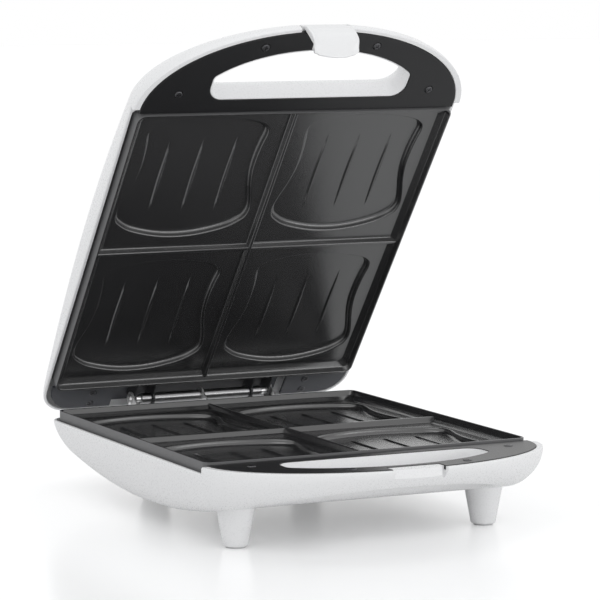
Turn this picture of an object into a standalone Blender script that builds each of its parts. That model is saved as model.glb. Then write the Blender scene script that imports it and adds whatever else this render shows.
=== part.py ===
"""Four-slice sandwich maker: white shells, black handle trims, dark toast-shaped plates.

Metres, +Z up, the handles point to -Y, the hinge runs along X at the back.
The lid stands half open, as in the photograph. The origin is on the table,
under the middle of the whole outline. While the pieces are built, it is under
the middle of the cooking plates.
"""
import math

import bmesh
import bpy
from mathutils import Matrix, Vector

for old in list(bpy.data.objects):
    bpy.data.objects.remove(old, do_unlink=True)

# Clearances and small finishing sizes
fit_gap = 0.0003          # air between two pieces that touch
merge_distance = 0.000001
weld_distance = 0.00003   # shortest edge that is kept
cut_overrun = 0.004       # how far a cut runs past the material
seam_gap = 0.0008         # visible seam between a plate and the trim
running_gap = 0.0005      # air beside a moving piece

# Cooking plates
plate_width = 0.252
plate_depth = 0.270
plate_crest_height = 0.0626
plate_gap = 0.001         # between the two plates when the lid is shut
plate_corner = 0.0066
plate_rear_band = 0.0038  # the rear rim lies this much further back than half the depth
plate_skirt = 0.012       # height of the plate's outer side
plate_skin = 0.0026       # casting thickness
rib_line = 0.0012         # the cross rib lies this far behind the middle
rib_drop = 0.0028         # the ribs stay under the outer crest
rib_half_top = 0.0010
rib_run = 0.0014
crest_land = 0.0011
rim_wall_run = 0.0016
rim_wall_drop = 0.0044
field_drop = 0.0070
ledge_run = 0.0044
rib_ledge = 0.0016
pocket_side_margin = 0.010     # beside a pocket, to the plate edge and to the middle rib
pocket_end_margin = 0.0105     # mean of the room before and behind a pocket
pocket_front_margin = 0.0095   # plate edge to the front pockets
pocket_rear_margin = 0.0075    # plate edge to the rear pockets
pocket_lip = 0.0008
pocket_lip_drop = 0.0005
pocket_wall_run = 0.0026
pocket_wall_drop = 0.0031
pocket_fillet_run = 0.0017
pocket_fillet_drop = 0.0006
score_end_gap = 0.023      # pocket end to ridge end
score_width = 0.0017
score_height = 0.0007
score_offset = 0.0035      # the score ridges sit this far toward the handle
plate_boss_radius = 0.0048
plate_boss_front_gap = 0.055   # from the plate edge to the screw boss
plate_boss_rear_gap = 0.075

# Hinge and lid
hinge_setback = 0.0187     # axis behind the plates
hinge_rise = 0.0019        # axis above the lower crest
lid_angle = math.radians(52.3)
rod_radius = 0.0025
rod_head_radius = 0.0042
rod_head_height = 0.0014
sleeve_radius = 0.0041
sleeve_bore_gap = 0.00035
ear_sheet = 0.0012
ear_radius = 0.0060
lower_ear_span = 0.1192    # over the outer faces of the two lower ears
ear_side_gap = 0.0006
tab_inset = 0.0177         # from the outer face of a lower ear to the inner tab
sleeve_tab_gap = 0.0007
short_sleeve_length = 0.0080
bracket_depth = 0.0056
upper_bracket_depth = 0.0228
bracket_reach = 0.0012     # web starts this far behind the plate

# Shells
side_overhang = 0.005      # shell beyond the plate at each side
rim_wall = 0.003
hull_wall = 0.0026
handle_rim_drop = 0.0020   # handle rim under the plate crest
side_rim_drop = 0.0071     # side rim under the plate crest
arc_line_setback = 0.0020  # centre line of the handle arcs, ahead of the plate
arc_reach = 0.0745
step_setback = 0.0035
base_rear_overhang = 0.015
lid_rear_overhang = 0.034
base_rear_corner = 0.018
lid_rear_corner = 0.0225
base_depth = 0.0468        # from the plate crest to the lowest point of the casing
lid_depth = 0.0419
base_bow_rise = 0.02593    # the casing's floor rises this much toward its ends
lid_bow_rise = 0.0243
bow_middle = -0.008
round_side = 0.0175       # how far the sides draw in toward the bottom
inner_round_side = 0.014
base_round_end = 0.030
lid_round_end = 0.0125
divider_wall = 0.0032
arc_ledge = 0.0010
inner_corner = 0.0035

# Handle trims
trim_thickness = 0.0028
trim_proud = 0.0004
trim_side_inset = 0.0055   # white rim beside the trim
trim_front_inset = 0.0035  # white rim ahead of the trim
grip_depth = 0.0187        # from the front of the rim to the finger opening
opening_setback = 0.011    # plate side of the finger opening, ahead of the arc line
opening_side_gap = 0.0535  # from the casing's side to the opening's end
opening_sway = -0.0018     # the opening sits this far off the middle
opening_plate_corner = 0.0105
opening_grip_corner = 0.0042
opening_end_run = 0.0175   # from the plate side to the grip-side corner's centre
opening_round_plate = 0.0140   # rounding where the opening leaves the casing, plate side
opening_round_grip = 0.0060    # the same at the grip side
opening_round_blend = 0.024    # length over which one passes into the other
opening_round_overrun = 0.003
liner_wall = 0.0022
trim_rear_screw_gap = 0.031    # from the casing's side
trim_rear_screw_ahead = 0.016  # of the arc line
trim_front_screw_gap = 0.087
trim_front_screw_back = 0.0170     # behind the front of the rim

# Screws
screw_head_radius = 0.0029
screw_head_height = 0.0014
screw_shank_radius = 0.0014
trim_screw_length = 0.0095
bracket_screw_length = 0.0070
plate_screw_length = 0.0080
boss_radius = 0.0042
screw_sink = 0.0011

# Feet
foot_side_gap = 0.0333         # from the casing's side to a front foot's middle
foot_rear_side_gap = 0.067
foot_front_gap = 0.013         # from the plate's front edge
foot_rear_gap = 0.039          # from the plate's rear edge
foot_top_radius = 0.0138
foot_bottom_radius = 0.0088
foot_height = 0.0275
foot_lift = 0.0012         # pad shows this much
pad_radius = 0.0070
pad_socket_depth = 0.0016

# Catch and latch
catch_side_gap = 0.0011       # beside the latch
catch_wall = 0.0028
catch_face_setback = 0.0041   # panel behind the front of the rim
catch_hook_setback = 0.0082   # hollow under the ledge
catch_ledge_drop = 0.0092     # ledge under the handle rim
catch_block_depth = 0.0135
trim_strip = 0.0060           # trim left between the opening and the catch
latch_half_width = 0.0192
latch_pin_radius = 0.0014
latch_axis_setback = 0.0086   # behind the front of the lid's rim
latch_axis_height = 0.0076    # into the lid from its handle rim
latch_knuckle = 0.0044
latch_bulge = 0.0015
latch_drop = 0.0226           # from the handle rim to the finger lip
latch_hook_drop = 0.0145      # from the handle rim to the hook's top
latch_hook_height = 0.0042
latch_hook_reach = 0.0046
latch_lip_corner = 0.0040
latch_notch_gap = 0.0007
lid_notch_depth = 0.0135

# Heating inside each half
heater_radius = 0.0033
heater_bend = 0.022
heater_front_gap = 0.031   # from the plate edge
heater_rear_gap = 0.010
reflector_sheet = 0.0008
reflector_side_gap = 0.014     # from the plate edge
reflector_end_gap = 0.013
reflector_edge = 0.0048
rest_rib_gap = 0.035       # from the plate edge to the rib the plate rests on
rest_rib_width = 0.005
rest_rib_depth = 0.0078
thermostat_radius = 0.0080
thermostat_height = 0.0070
thermostat_place = (0.030, -0.010)
fuse_radius = 0.0021
fuse_length = 0.022
fuse_place = (-0.034, 0.020)
block_size = (0.034, 0.018, 0.0095)
block_place = (0.030, 0.050)
block_seat_rise = 0.0078   # over the lowest point of the casing
wire_radius = 0.0013
wire_bend = 0.0030
wire_lane_rise = 0.0127    # leads over the lowest point of the casing
gland_radius = 0.0068
gland_flange_radius = 0.0092
gland_flange_height = 0.0020
gland_length = 0.0125
gland_bore_radius = 0.0034
gland_rear_gap = 0.023     # from the plate's rear edge

# Lid details
liner_shelf_gap = 0.0030
liner_sheet = 0.0022
liner_edge_gap = 0.0026
liner_drop = 0.0050        # liner face inside the lid from its plate crest
liner_screw_rows = (0.0130, 0.0245)   # behind the plate
shelf_side_gap = 0.0109    # shelf beyond the bracket
shelf_sheet = 0.0026
base_shelf_drop = 0.0081   # shelf under the plate crest
lid_shelf_drop = 0.0128
lamp_radius = 0.0040
lamp_proud = 0.0007
lamp_board_gap = 0.0006     # under the reflector's edge
lamp_flange = 0.0008
lamp_place_side = 0.014
lamp_front_gap = 0.017     # from the plate's front edge
lamp_board_size = (0.046, 0.014, 0.0016)
lamp_post_half = 0.0035

# Counts
arc_steps = 12
corner_steps = 4
side_steps = 6
hull_bands = 5
round_steps = 20
screw_steps = 10
sleeve_steps = 16
lead_steps = 12
knuckle_steps = 7
flare_steps = 3
search_steps = 24

# Toast outline, hand-picked shares of the pocket's half width and half length,
# from the top corner (handle side) down the right side to the bottom corner
pocket_side_shares = (
    (0.840, -0.842), (0.888, -0.737), (0.862, -0.540), (0.845, -0.330), (0.850, -0.090),
    (0.895, 0.150), (0.962, 0.375), (1.000, 0.560), (0.975, 0.690), (0.906, 0.763),
)
pocket_top_shares = ((0.000, -1.000), (0.230, -0.992), (0.470, -0.960), (0.715, -0.905))
pocket_bottom_shares = ((0.755, 0.856), (0.528, 0.930), (0.264, 0.983), (0.000, 1.000))
# Outer face of the latch, top to bottom: shares of its bulge outward and of its drop
latch_front_shares = ((0.65, 0.10), (1.00, 0.30), (0.60, 0.52), (-0.70, 0.72), (-3.00, 0.90),
                      (-4.50, 1.00), (-5.25, 0.96))
# Back of the finger lip and hook: shares of the hook's reach and of its height
latch_hook_shares = ((0.35, -0.20), (1.00, 0.62), (1.00, 1.00))
# Where the corner points of the ring between four crests fall along a side
side_shares = (0.035, 0.14, 0.26, 0.38, 0.50, 0.62, 0.74, 0.965)
end_shares = (0.33, 0.66, 0.93)
crown_share = 0.72          # flat top of a rounded head
head_edge_share = 0.45      # height of a screw head's edge
gland_taper_share = 0.80
score_pitch_share = 0.4943  # of the pocket's half width
liner_screw_share = 0.33    # place of the liner screws across the liner

# Places worked out from the sizes above
half_width = plate_width / 2
half_depth = plate_depth / 2
plate_rear = half_depth + plate_rear_band
shell_half = half_width + side_overhang
pocket_half_width = half_width / 2 - pocket_side_margin
pocket_half_length = half_depth / 2 - pocket_end_margin
score_length = 2 * (pocket_half_length - score_end_gap)
score_pitch = pocket_half_width * score_pitch_share
plate_boss_places = (-half_depth + plate_boss_front_gap, half_depth - plate_boss_rear_gap)
shut_middle = plate_crest_height + plate_gap / 2
axis_y = half_depth + hinge_setback
axis_z = plate_crest_height + hinge_rise
handle_rim = plate_crest_height - handle_rim_drop
side_rim = plate_crest_height - side_rim_drop
arc_line = -half_depth - arc_line_setback
trim_arc_width = shell_half - trim_side_inset
trim_arc_reach = arc_reach - trim_front_inset
opening_arc_reach = arc_reach - grip_depth
opening_half_length = shell_half - opening_side_gap
trim_screw_places = ((shell_half - trim_rear_screw_gap, trim_rear_screw_ahead),
                     (shell_half - trim_front_screw_gap, arc_reach - trim_front_screw_back))
handle_front = arc_line - arc_reach
trim_top = handle_rim + trim_proud
trim_bottom = trim_top - trim_thickness
seat_height = trim_bottom - fit_gap
base_low_height = plate_crest_height - base_depth
lid_low_height = plate_crest_height - lid_depth
base_reach = (half_depth + base_rear_overhang - handle_front) / 2
lid_reach = (half_depth + lid_rear_overhang - handle_front) / 2
base_bow_radius = base_reach ** 2 / (2 * base_bow_rise)
lid_bow_radius = lid_reach ** 2 / (2 * lid_bow_rise)
foot_place_side = shell_half - foot_side_gap
foot_place_rear_side = shell_half - foot_rear_side_gap
foot_place_front = -half_depth + foot_front_gap
foot_place_rear = half_depth - foot_rear_gap
catch_half_width = latch_half_width + catch_side_gap
gland_place = (0, half_depth - gland_rear_gap)
lamp_place_depth = -half_depth + lamp_front_gap
heater_leg_place = half_width / 2
heater_front_place = -half_depth + heater_front_gap
heater_rear_place = half_depth - heater_rear_gap
reflector_half_width = half_width - reflector_side_gap
reflector_half_depth = half_depth - reflector_end_gap
rest_rib_place = half_depth - rest_rib_gap
block_seat_height = base_low_height + block_seat_rise
wire_lane = base_low_height + wire_lane_rise
upper_tab_place = lower_ear_span / 2 - tab_inset
shelf_half_width = lower_ear_span / 2 + shelf_side_gap
liner_inner_place = shelf_half_width + liner_shelf_gap
liner_side = shell_half - rim_wall - liner_edge_gap
liner_screw_place = liner_inner_place + (liner_side - liner_inner_place) * liner_screw_share
field_height = plate_crest_height - field_drop
floor_height = (field_height - pocket_lip_drop - pocket_wall_drop - pocket_fillet_drop)
plate_under = field_height - plate_skin
floor_under = floor_height - plate_skin
heater_height = floor_under - fit_gap - heater_radius
reflector_top = heater_height - heater_radius - fit_gap
reflector_bottom = reflector_top - reflector_sheet
skirt_bottom = plate_crest_height - plate_skirt

hinge_point = Vector((0, axis_y, axis_z))
turn_over = (Matrix.Translation((0, 0, 2 * shut_middle)) @ Matrix.Rotation(math.pi, 4, 'Y'))
lid_turn = Matrix.Rotation(-lid_angle, 4, 'X')


# Small helpers
def new_object(name, bm):
    """Make an object of a bmesh, with its faces turned outward."""
    bmesh.ops.remove_doubles(bm, verts=bm.verts, dist=merge_distance)
    bmesh.ops.recalc_face_normals(bm, faces=bm.faces)
    mesh = bpy.data.meshes.new(name)
    bm.to_mesh(mesh)
    bm.free()
    obj = bpy.data.objects.new(name, mesh)
    bpy.context.collection.objects.link(obj)
    return obj


def combine(target, tool, operation):
    """Apply one exact Boolean and drop the tool."""
    modifier = target.modifiers.new(operation.title(), 'BOOLEAN')
    modifier.operation = operation
    modifier.solver = 'EXACT'
    modifier.object = tool
    graph = bpy.context.evaluated_depsgraph_get()
    result = bpy.data.meshes.new_from_object(target.evaluated_get(graph))
    target.modifiers.clear()
    target.data = result
    bpy.data.objects.remove(tool, do_unlink=True)
    return target


def cut(target, *tools):
    for tool in tools:
        combine(target, tool, 'DIFFERENCE')
    return target


def add(target, *tools):
    for tool in tools:
        combine(target, tool, 'UNION')
    return target


def prism(points, low, high):
    """A flat outline in X and Y, raised from low to high."""
    bm = bmesh.new()
    bottom = [bm.verts.new((x, y, low)) for x, y in points]
    top = [bm.verts.new((x, y, high)) for x, y in points]
    bm.faces.new(bottom)
    bm.faces.new(top)
    for i in range(len(points)):
        j = (i + 1) % len(points)
        bm.faces.new((bottom[i], bottom[j], top[j], top[i]))
    return new_object("prism", bm)


def side_prism(points, left, right):
    """A flat outline in Y and Z, drawn out along X from left to right."""
    bm = bmesh.new()
    near = [bm.verts.new((left, y, z)) for y, z in points]
    far = [bm.verts.new((right, y, z)) for y, z in points]
    bm.faces.new(near)
    bm.faces.new(far)
    for i in range(len(points)):
        j = (i + 1) % len(points)
        bm.faces.new((near[i], near[j], far[j], far[i]))
    return new_object("side_prism", bm)


def block(x0, x1, y0, y1, z0, z1):
    return prism(((x0, y0), (x1, y0), (x1, y1), (x0, y1)), z0, z1)


def circle(cx, cy, radius, steps=round_steps):
    turn = 2 * math.pi / steps
    return [(cx + radius * math.cos(turn * (i + 0.5)), cy + radius * math.sin(turn * (i + 0.5)))
            for i in range(steps)]


def disc(cx, cy, radius, low, high, steps=round_steps):
    return prism(circle(cx, cy, radius, steps), low, high)


def turned(profile, steps):
    """Turn (radius, height) points about Z; zero radius points close the ends."""
    bm = bmesh.new()
    rings = []
    for radius, height in profile:
        if radius == 0:
            rings.append([bm.verts.new((0, 0, height))])
            continue
        ring = []
        for i in range(steps):
            angle = 2 * math.pi * i / steps
            ring.append(bm.verts.new((radius * math.cos(angle), radius * math.sin(angle), height)))
        rings.append(ring)
    for one, two in zip(rings, rings[1:]):
        for i in range(steps):
            j = (i + 1) % steps
            if len(one) == 1:
                bm.faces.new((one[0], two[i], two[j]))
            elif len(two) == 1:
                bm.faces.new((one[i], one[j], two[0]))
            else:
                bm.faces.new((one[i], one[j], two[j], two[i]))
    if len(rings[0]) > 1 and len(rings[-1]) > 1:
        for i in range(steps):
            j = (i + 1) % steps
            bm.faces.new((rings[-1][i], rings[-1][j], rings[0][j], rings[0][i]))
    return new_object("turned", bm)


def moved(obj, matrix):
    obj.data.transform(matrix)
    if matrix.determinant() < 0:
        obj.data.flip_normals()
    return obj


def tube(points, radius):
    """A round bar along a route, made as a bevelled curve and kept as a mesh."""
    curve = bpy.data.curves.new("route", 'CURVE')
    curve.dimensions = '3D'
    curve.bevel_depth = radius
    curve.bevel_resolution = 2
    curve.use_fill_caps = True
    spline = curve.splines.new('POLY')
    spline.points.add(len(points) - 1)
    for point, place in zip(spline.points, points):
        point.co = (*place, 1)
    guide = bpy.data.objects.new("route", curve)
    bpy.context.collection.objects.link(guide)
    graph = bpy.context.evaluated_depsgraph_get()
    mesh = bpy.data.meshes.new_from_object(guide.evaluated_get(graph))
    bpy.data.objects.remove(guide, do_unlink=True)
    bm = bmesh.new()
    bm.from_mesh(mesh)
    return new_object("tube", bm)


def grown(points, distance):
    """Offset a closed outline outward by distance, along its corner normals."""
    area = sum(points[i - 1][0] * points[i][1] - points[i][0] * points[i - 1][1]
               for i in range(len(points)))
    side = 1 if area > 0 else -1
    result = []
    for i, (x, y) in enumerate(points):
        before = Vector(points[i]) - Vector(points[i - 1])
        after = Vector(points[(i + 1) % len(points)]) - Vector(points[i])
        before.normalize()
        after.normalize()
        one = Vector((before.y, -before.x)) * side
        two = Vector((after.y, -after.x)) * side
        middle = (one + two).normalized()
        result.append((x + middle.x * distance / max(middle.dot(one), 0.5),
                       y + middle.y * distance / max(middle.dot(one), 0.5)))
    return result


def spread(points, distances):
    """Offset each point of a closed outline outward by its own distance."""
    unit = grown(points, merge_distance)
    result = []
    for (x, y), (far_x, far_y), distance in zip(points, unit, distances):
        way = Vector((far_x - x, far_y - y)).normalized() * distance
        result.append((x + way.x, y + way.y))
    return result


def mirrored(half):
    """Close a half outline on the +X side with its mirror image."""
    return list(half) + [(-x, y) for x, y in reversed(half) if x > 0]


def finish(obj, name, colour, roughness, metallic=0.0, smooth=True):
    """Name, shade and paint a piece; flat neighbours are joined first."""
    bm = bmesh.new()
    bm.from_mesh(obj.data)
    bmesh.ops.remove_doubles(bm, verts=bm.verts, dist=merge_distance)
    bmesh.ops.dissolve_limit(bm, angle_limit=math.radians(0.4), verts=bm.verts, edges=bm.edges)
    bmesh.ops.remove_doubles(bm, verts=bm.verts, dist=weld_distance)
    bmesh.ops.triangulate(bm, faces=[f for f in bm.faces if len(f.verts) > 4])
    bm.to_mesh(obj.data)
    bm.free()
    obj.name = name
    obj.data.name = name
    material = bpy.data.materials.new(name)
    material.use_nodes = True
    shader = material.node_tree.nodes["Principled BSDF"]
    shader.inputs["Base Color"].default_value = (*colour, 1)
    shader.inputs["Roughness"].default_value = roughness
    shader.inputs["Metallic"].default_value = metallic
    material.diffuse_color = (*colour, 1)
    obj.data.materials.clear()
    obj.data.materials.append(material)
    if smooth:
        obj.data.shade_smooth()
        obj.data.set_sharp_from_angle(angle=math.radians(32))
    return obj


def hang_on_axis(obj, axis):
    """Give a lid piece, built shut, its origin on a lid axis and open it."""
    obj.data.transform(Matrix.Translation(-axis))
    obj.location = hinge_point + lid_turn @ (axis - hinge_point)
    obj.rotation_euler = (-lid_angle, 0, 0)
    return obj


white = (0.83, 0.83, 0.84)
black = (0.018, 0.018, 0.019)
charcoal = (0.035, 0.035, 0.036)
steel = (0.62, 0.62, 0.63)
grey_metal = (0.34, 0.34, 0.35)
rubber_grey = (0.42, 0.42, 0.43)
liner_grey = (0.10, 0.10, 0.115)
red_lens = (0.65, 0.04, 0.03)
green_lens = (0.05, 0.50, 0.10)
ceramic = (0.75, 0.73, 0.68)
red_wire = (0.50, 0.05, 0.04)
blue_wire = (0.05, 0.12, 0.45)
board_green = (0.06, 0.22, 0.10)


# Outlines of the shells, front point to rear point on the +X side
def hull_half(rear, corner):
    points = []
    for i in range(arc_steps + 1):
        angle = math.pi / 2 * i / arc_steps
        points.append((shell_half * math.sin(angle), arc_line - arc_reach * math.cos(angle)))
    straight = rear - corner - arc_line
    for i in range(1, side_steps + 1):
        points.append((shell_half, arc_line + straight * i / side_steps))
    for i in range(1, corner_steps + 1):
        angle = math.pi / 2 * i / corner_steps
        points.append((shell_half - corner + corner * math.cos(angle),
                       rear - corner + corner * math.sin(angle)))
    points[0] = (0, points[0][1])
    return points


def cavity_half(rear, corner):
    inner = shell_half - rim_wall
    front = -half_depth - seam_gap
    points = [(inner - inner_corner, front), (inner, front + inner_corner)]
    straight = rear - corner - front - inner_corner
    for i in range(1, side_steps + 1):
        points.append((inner, front + inner_corner + straight * i / side_steps))
    for i in range(1, corner_steps + 1):
        angle = math.pi / 2 * i / corner_steps
        points.append((inner - corner + corner * math.cos(angle),
                       rear - corner + corner * math.sin(angle)))
    return points


def arc_half(width, reach, back):
    """Half of a D shape: the handle arc closed by a straight line at back."""
    points = []
    span = math.acos(max(0.0, min(1.0, (arc_line - back) / reach))) if back < arc_line else math.pi / 2
    for i in range(arc_steps + 1):
        angle = span * i / arc_steps
        points.append((width * math.sin(angle), arc_line - reach * math.cos(angle)))
    points[0] = (0, points[0][1])
    if back > arc_line:
        points.append((points[-1][0], back))
    return points


def opening_half():
    """Half of the finger opening, from its grip-side point to its plate side."""
    back = arc_line - opening_setback
    corner = (opening_half_length - opening_grip_corner, back - opening_end_run)
    turn = math.radians(-50)
    join_x = corner[0] + opening_grip_corner * math.cos(turn)
    join_y = corner[1] + opening_grip_corner * math.sin(turn)
    rise = math.asin(min((arc_line - join_y) / opening_arc_reach, 0.95))
    width = join_x / math.cos(rise)
    points = []
    for i in range(arc_steps):
        angle = (math.pi / 2 - rise) * i / arc_steps
        points.append((width * math.sin(angle), arc_line - opening_arc_reach * math.cos(angle)))
    for i in range(corner_steps + 1):
        angle = turn * (1 - i / corner_steps)
        points.append((corner[0] + opening_grip_corner * math.cos(angle),
                       corner[1] + opening_grip_corner * math.sin(angle)))
    for i in range(corner_steps + 1):
        angle = math.pi / 2 * i / corner_steps
        points.append((opening_half_length - opening_plate_corner * (1 - math.cos(angle)),
                       back - opening_plate_corner * (1 - math.sin(angle))))
    points[0] = (0, points[0][1])
    return points


def opening_outline(extra=0.0):
    """The whole finger opening, grown by extra, set off the middle by its sway."""
    points = mirrored(opening_half())
    if extra:
        points = grown(points, extra)
    return [(x + opening_sway, y) for x, y in points]


def bowl(half, centre_y, top, reach_x, reach_front, reach_rear, round_x, round_front,
         round_rear, low, bow, lift):
    """A boat-shaped block: rings that draw in by a quarter ellipse down to a bowed floor."""
    bm = bmesh.new()
    full = mirrored(half)
    rings = [[bm.verts.new((x, y, top)) for x, y in full]]
    rim = min(top, handle_rim)
    for k in range(hull_bands + 1):
        angle = math.pi / 2 * k / hull_bands
        draw = 1 - math.cos(angle)
        ring = []
        for x, y in full:
            depth = y - centre_y
            if depth < 0:
                new_y = centre_y + depth * (1 - round_front / reach_front * draw)
            else:
                new_y = centre_y + depth * (1 - round_rear / reach_rear * draw)
            floor = low + lift + (new_y - bow_middle) ** 2 / (2 * bow)
            ring.append(bm.verts.new((x * (1 - round_x / reach_x * draw), new_y,
                                      rim - math.sin(angle) * (rim - floor))))
        rings.append(ring)
    if top <= rim:
        for vert in rings.pop(1):
            bm.verts.remove(vert)
    count = len(full)
    for one, two in zip(rings, rings[1:]):
        for i in range(count):
            j = (i + 1) % count
            bm.faces.new((one[i], one[j], two[j], two[i]))
    bm.faces.new(rings[0])
    last = rings[-1]
    outer = [i for i, (x, y) in enumerate(half) if x > 0]
    across = {i: len(half) + len(outer) - 1 - k for k, i in enumerate(outer)}
    for i in range(len(half) - 1):
        strip = [i, i + 1, across.get(i + 1, i + 1), across.get(i, i)]
        bm.faces.new([last[k] for k in dict.fromkeys(strip)])
    return new_object("bowl", bm)


def bow_floor(y, low, bow):
    return low + (y - bow_middle) ** 2 / (2 * bow)


def hull_height(x, y, centre, reach, round_end, low, bow):
    """Height of the casing's outer skin where it crosses the point x, y."""
    def outside(draw):
        wide_x = x / (1 - round_side / shell_half * draw)
        wide_y = centre + (y - centre) / (1 - round_end / reach * draw)
        if wide_y > arc_line:
            return abs(wide_x) / shell_half - 1
        return (wide_x / shell_half) ** 2 + ((wide_y - arc_line) / arc_reach) ** 2 - 1

    floor = bow_floor(y, low, bow)
    if outside(1) < 0:
        return floor
    below, above = 0, 1
    for step in range(search_steps):
        draw = (below + above) / 2
        if outside(draw) < 0:
            below = draw
        else:
            above = draw
    return handle_rim - math.sin(math.acos(1 - draw)) * (handle_rim - floor)


def opening_flare(wall, lift, top, height_at):
    """Block the shape of the finger opening, with a broad rounding where it leaves the casing.

    It is grown sideways by wall and raised by lift, to leave a lining round the opening.
    """
    points = opening_outline(wall)
    rounds = []
    for x, y in points:
        share = min(1, max(0, (arc_line - opening_setback - y) / opening_round_blend))
        rounds.append(opening_round_plate + (opening_round_grip - opening_round_plate) * share)
    rings = [[(x, y, top) for x, y in points]]
    for k in range(flare_steps + 1):
        angle = math.pi / 2 * k / flare_steps
        ring = []
        for (x, y), r in zip(spread(points, [r * (1 - math.cos(angle)) for r in rounds]), rounds):
            ring.append((x, y, height_at(x, y) + lift + r * (1 - math.sin(angle))))
        rings.append(ring)
    last = spread(points, [r + opening_round_overrun for r in rounds])
    rings.append([(x, y, height_at(x, y) + lift - opening_round_overrun) for x, y in last])
    rings.append([(x, y, -cut_overrun) for x, y in last])
    bm = bmesh.new()
    loops = [[bm.verts.new(point) for point in ring] for ring in rings]
    for one, two in zip(loops, loops[1:]):
        for i in range(len(one)):
            j = (i + 1) % len(one)
            bm.faces.new((one[i], one[j], two[j], two[i]))
    bm.faces.new(loops[0])
    bm.faces.new(loops[-1])
    return new_object("opening", bm)


trim_screws = [(side * across, arc_line - ahead) for across, ahead in trim_screw_places
               for side in (-1, 1)]
opening_front = arc_line - opening_arc_reach
catch_face = handle_front + catch_face_setback
catch_hook = handle_front + catch_hook_setback
catch_back = handle_front + catch_block_depth
catch_ledge = handle_rim - catch_ledge_drop
strip_front = opening_front - trim_strip
latch_axis_y = handle_front + latch_axis_setback
notch_back = handle_front + lid_notch_depth


feet = [(side * across, y) for across, y in ((foot_place_side, foot_place_front),
                                             (foot_place_rear_side, foot_place_rear))
        for side in (-1, 1)]


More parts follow.
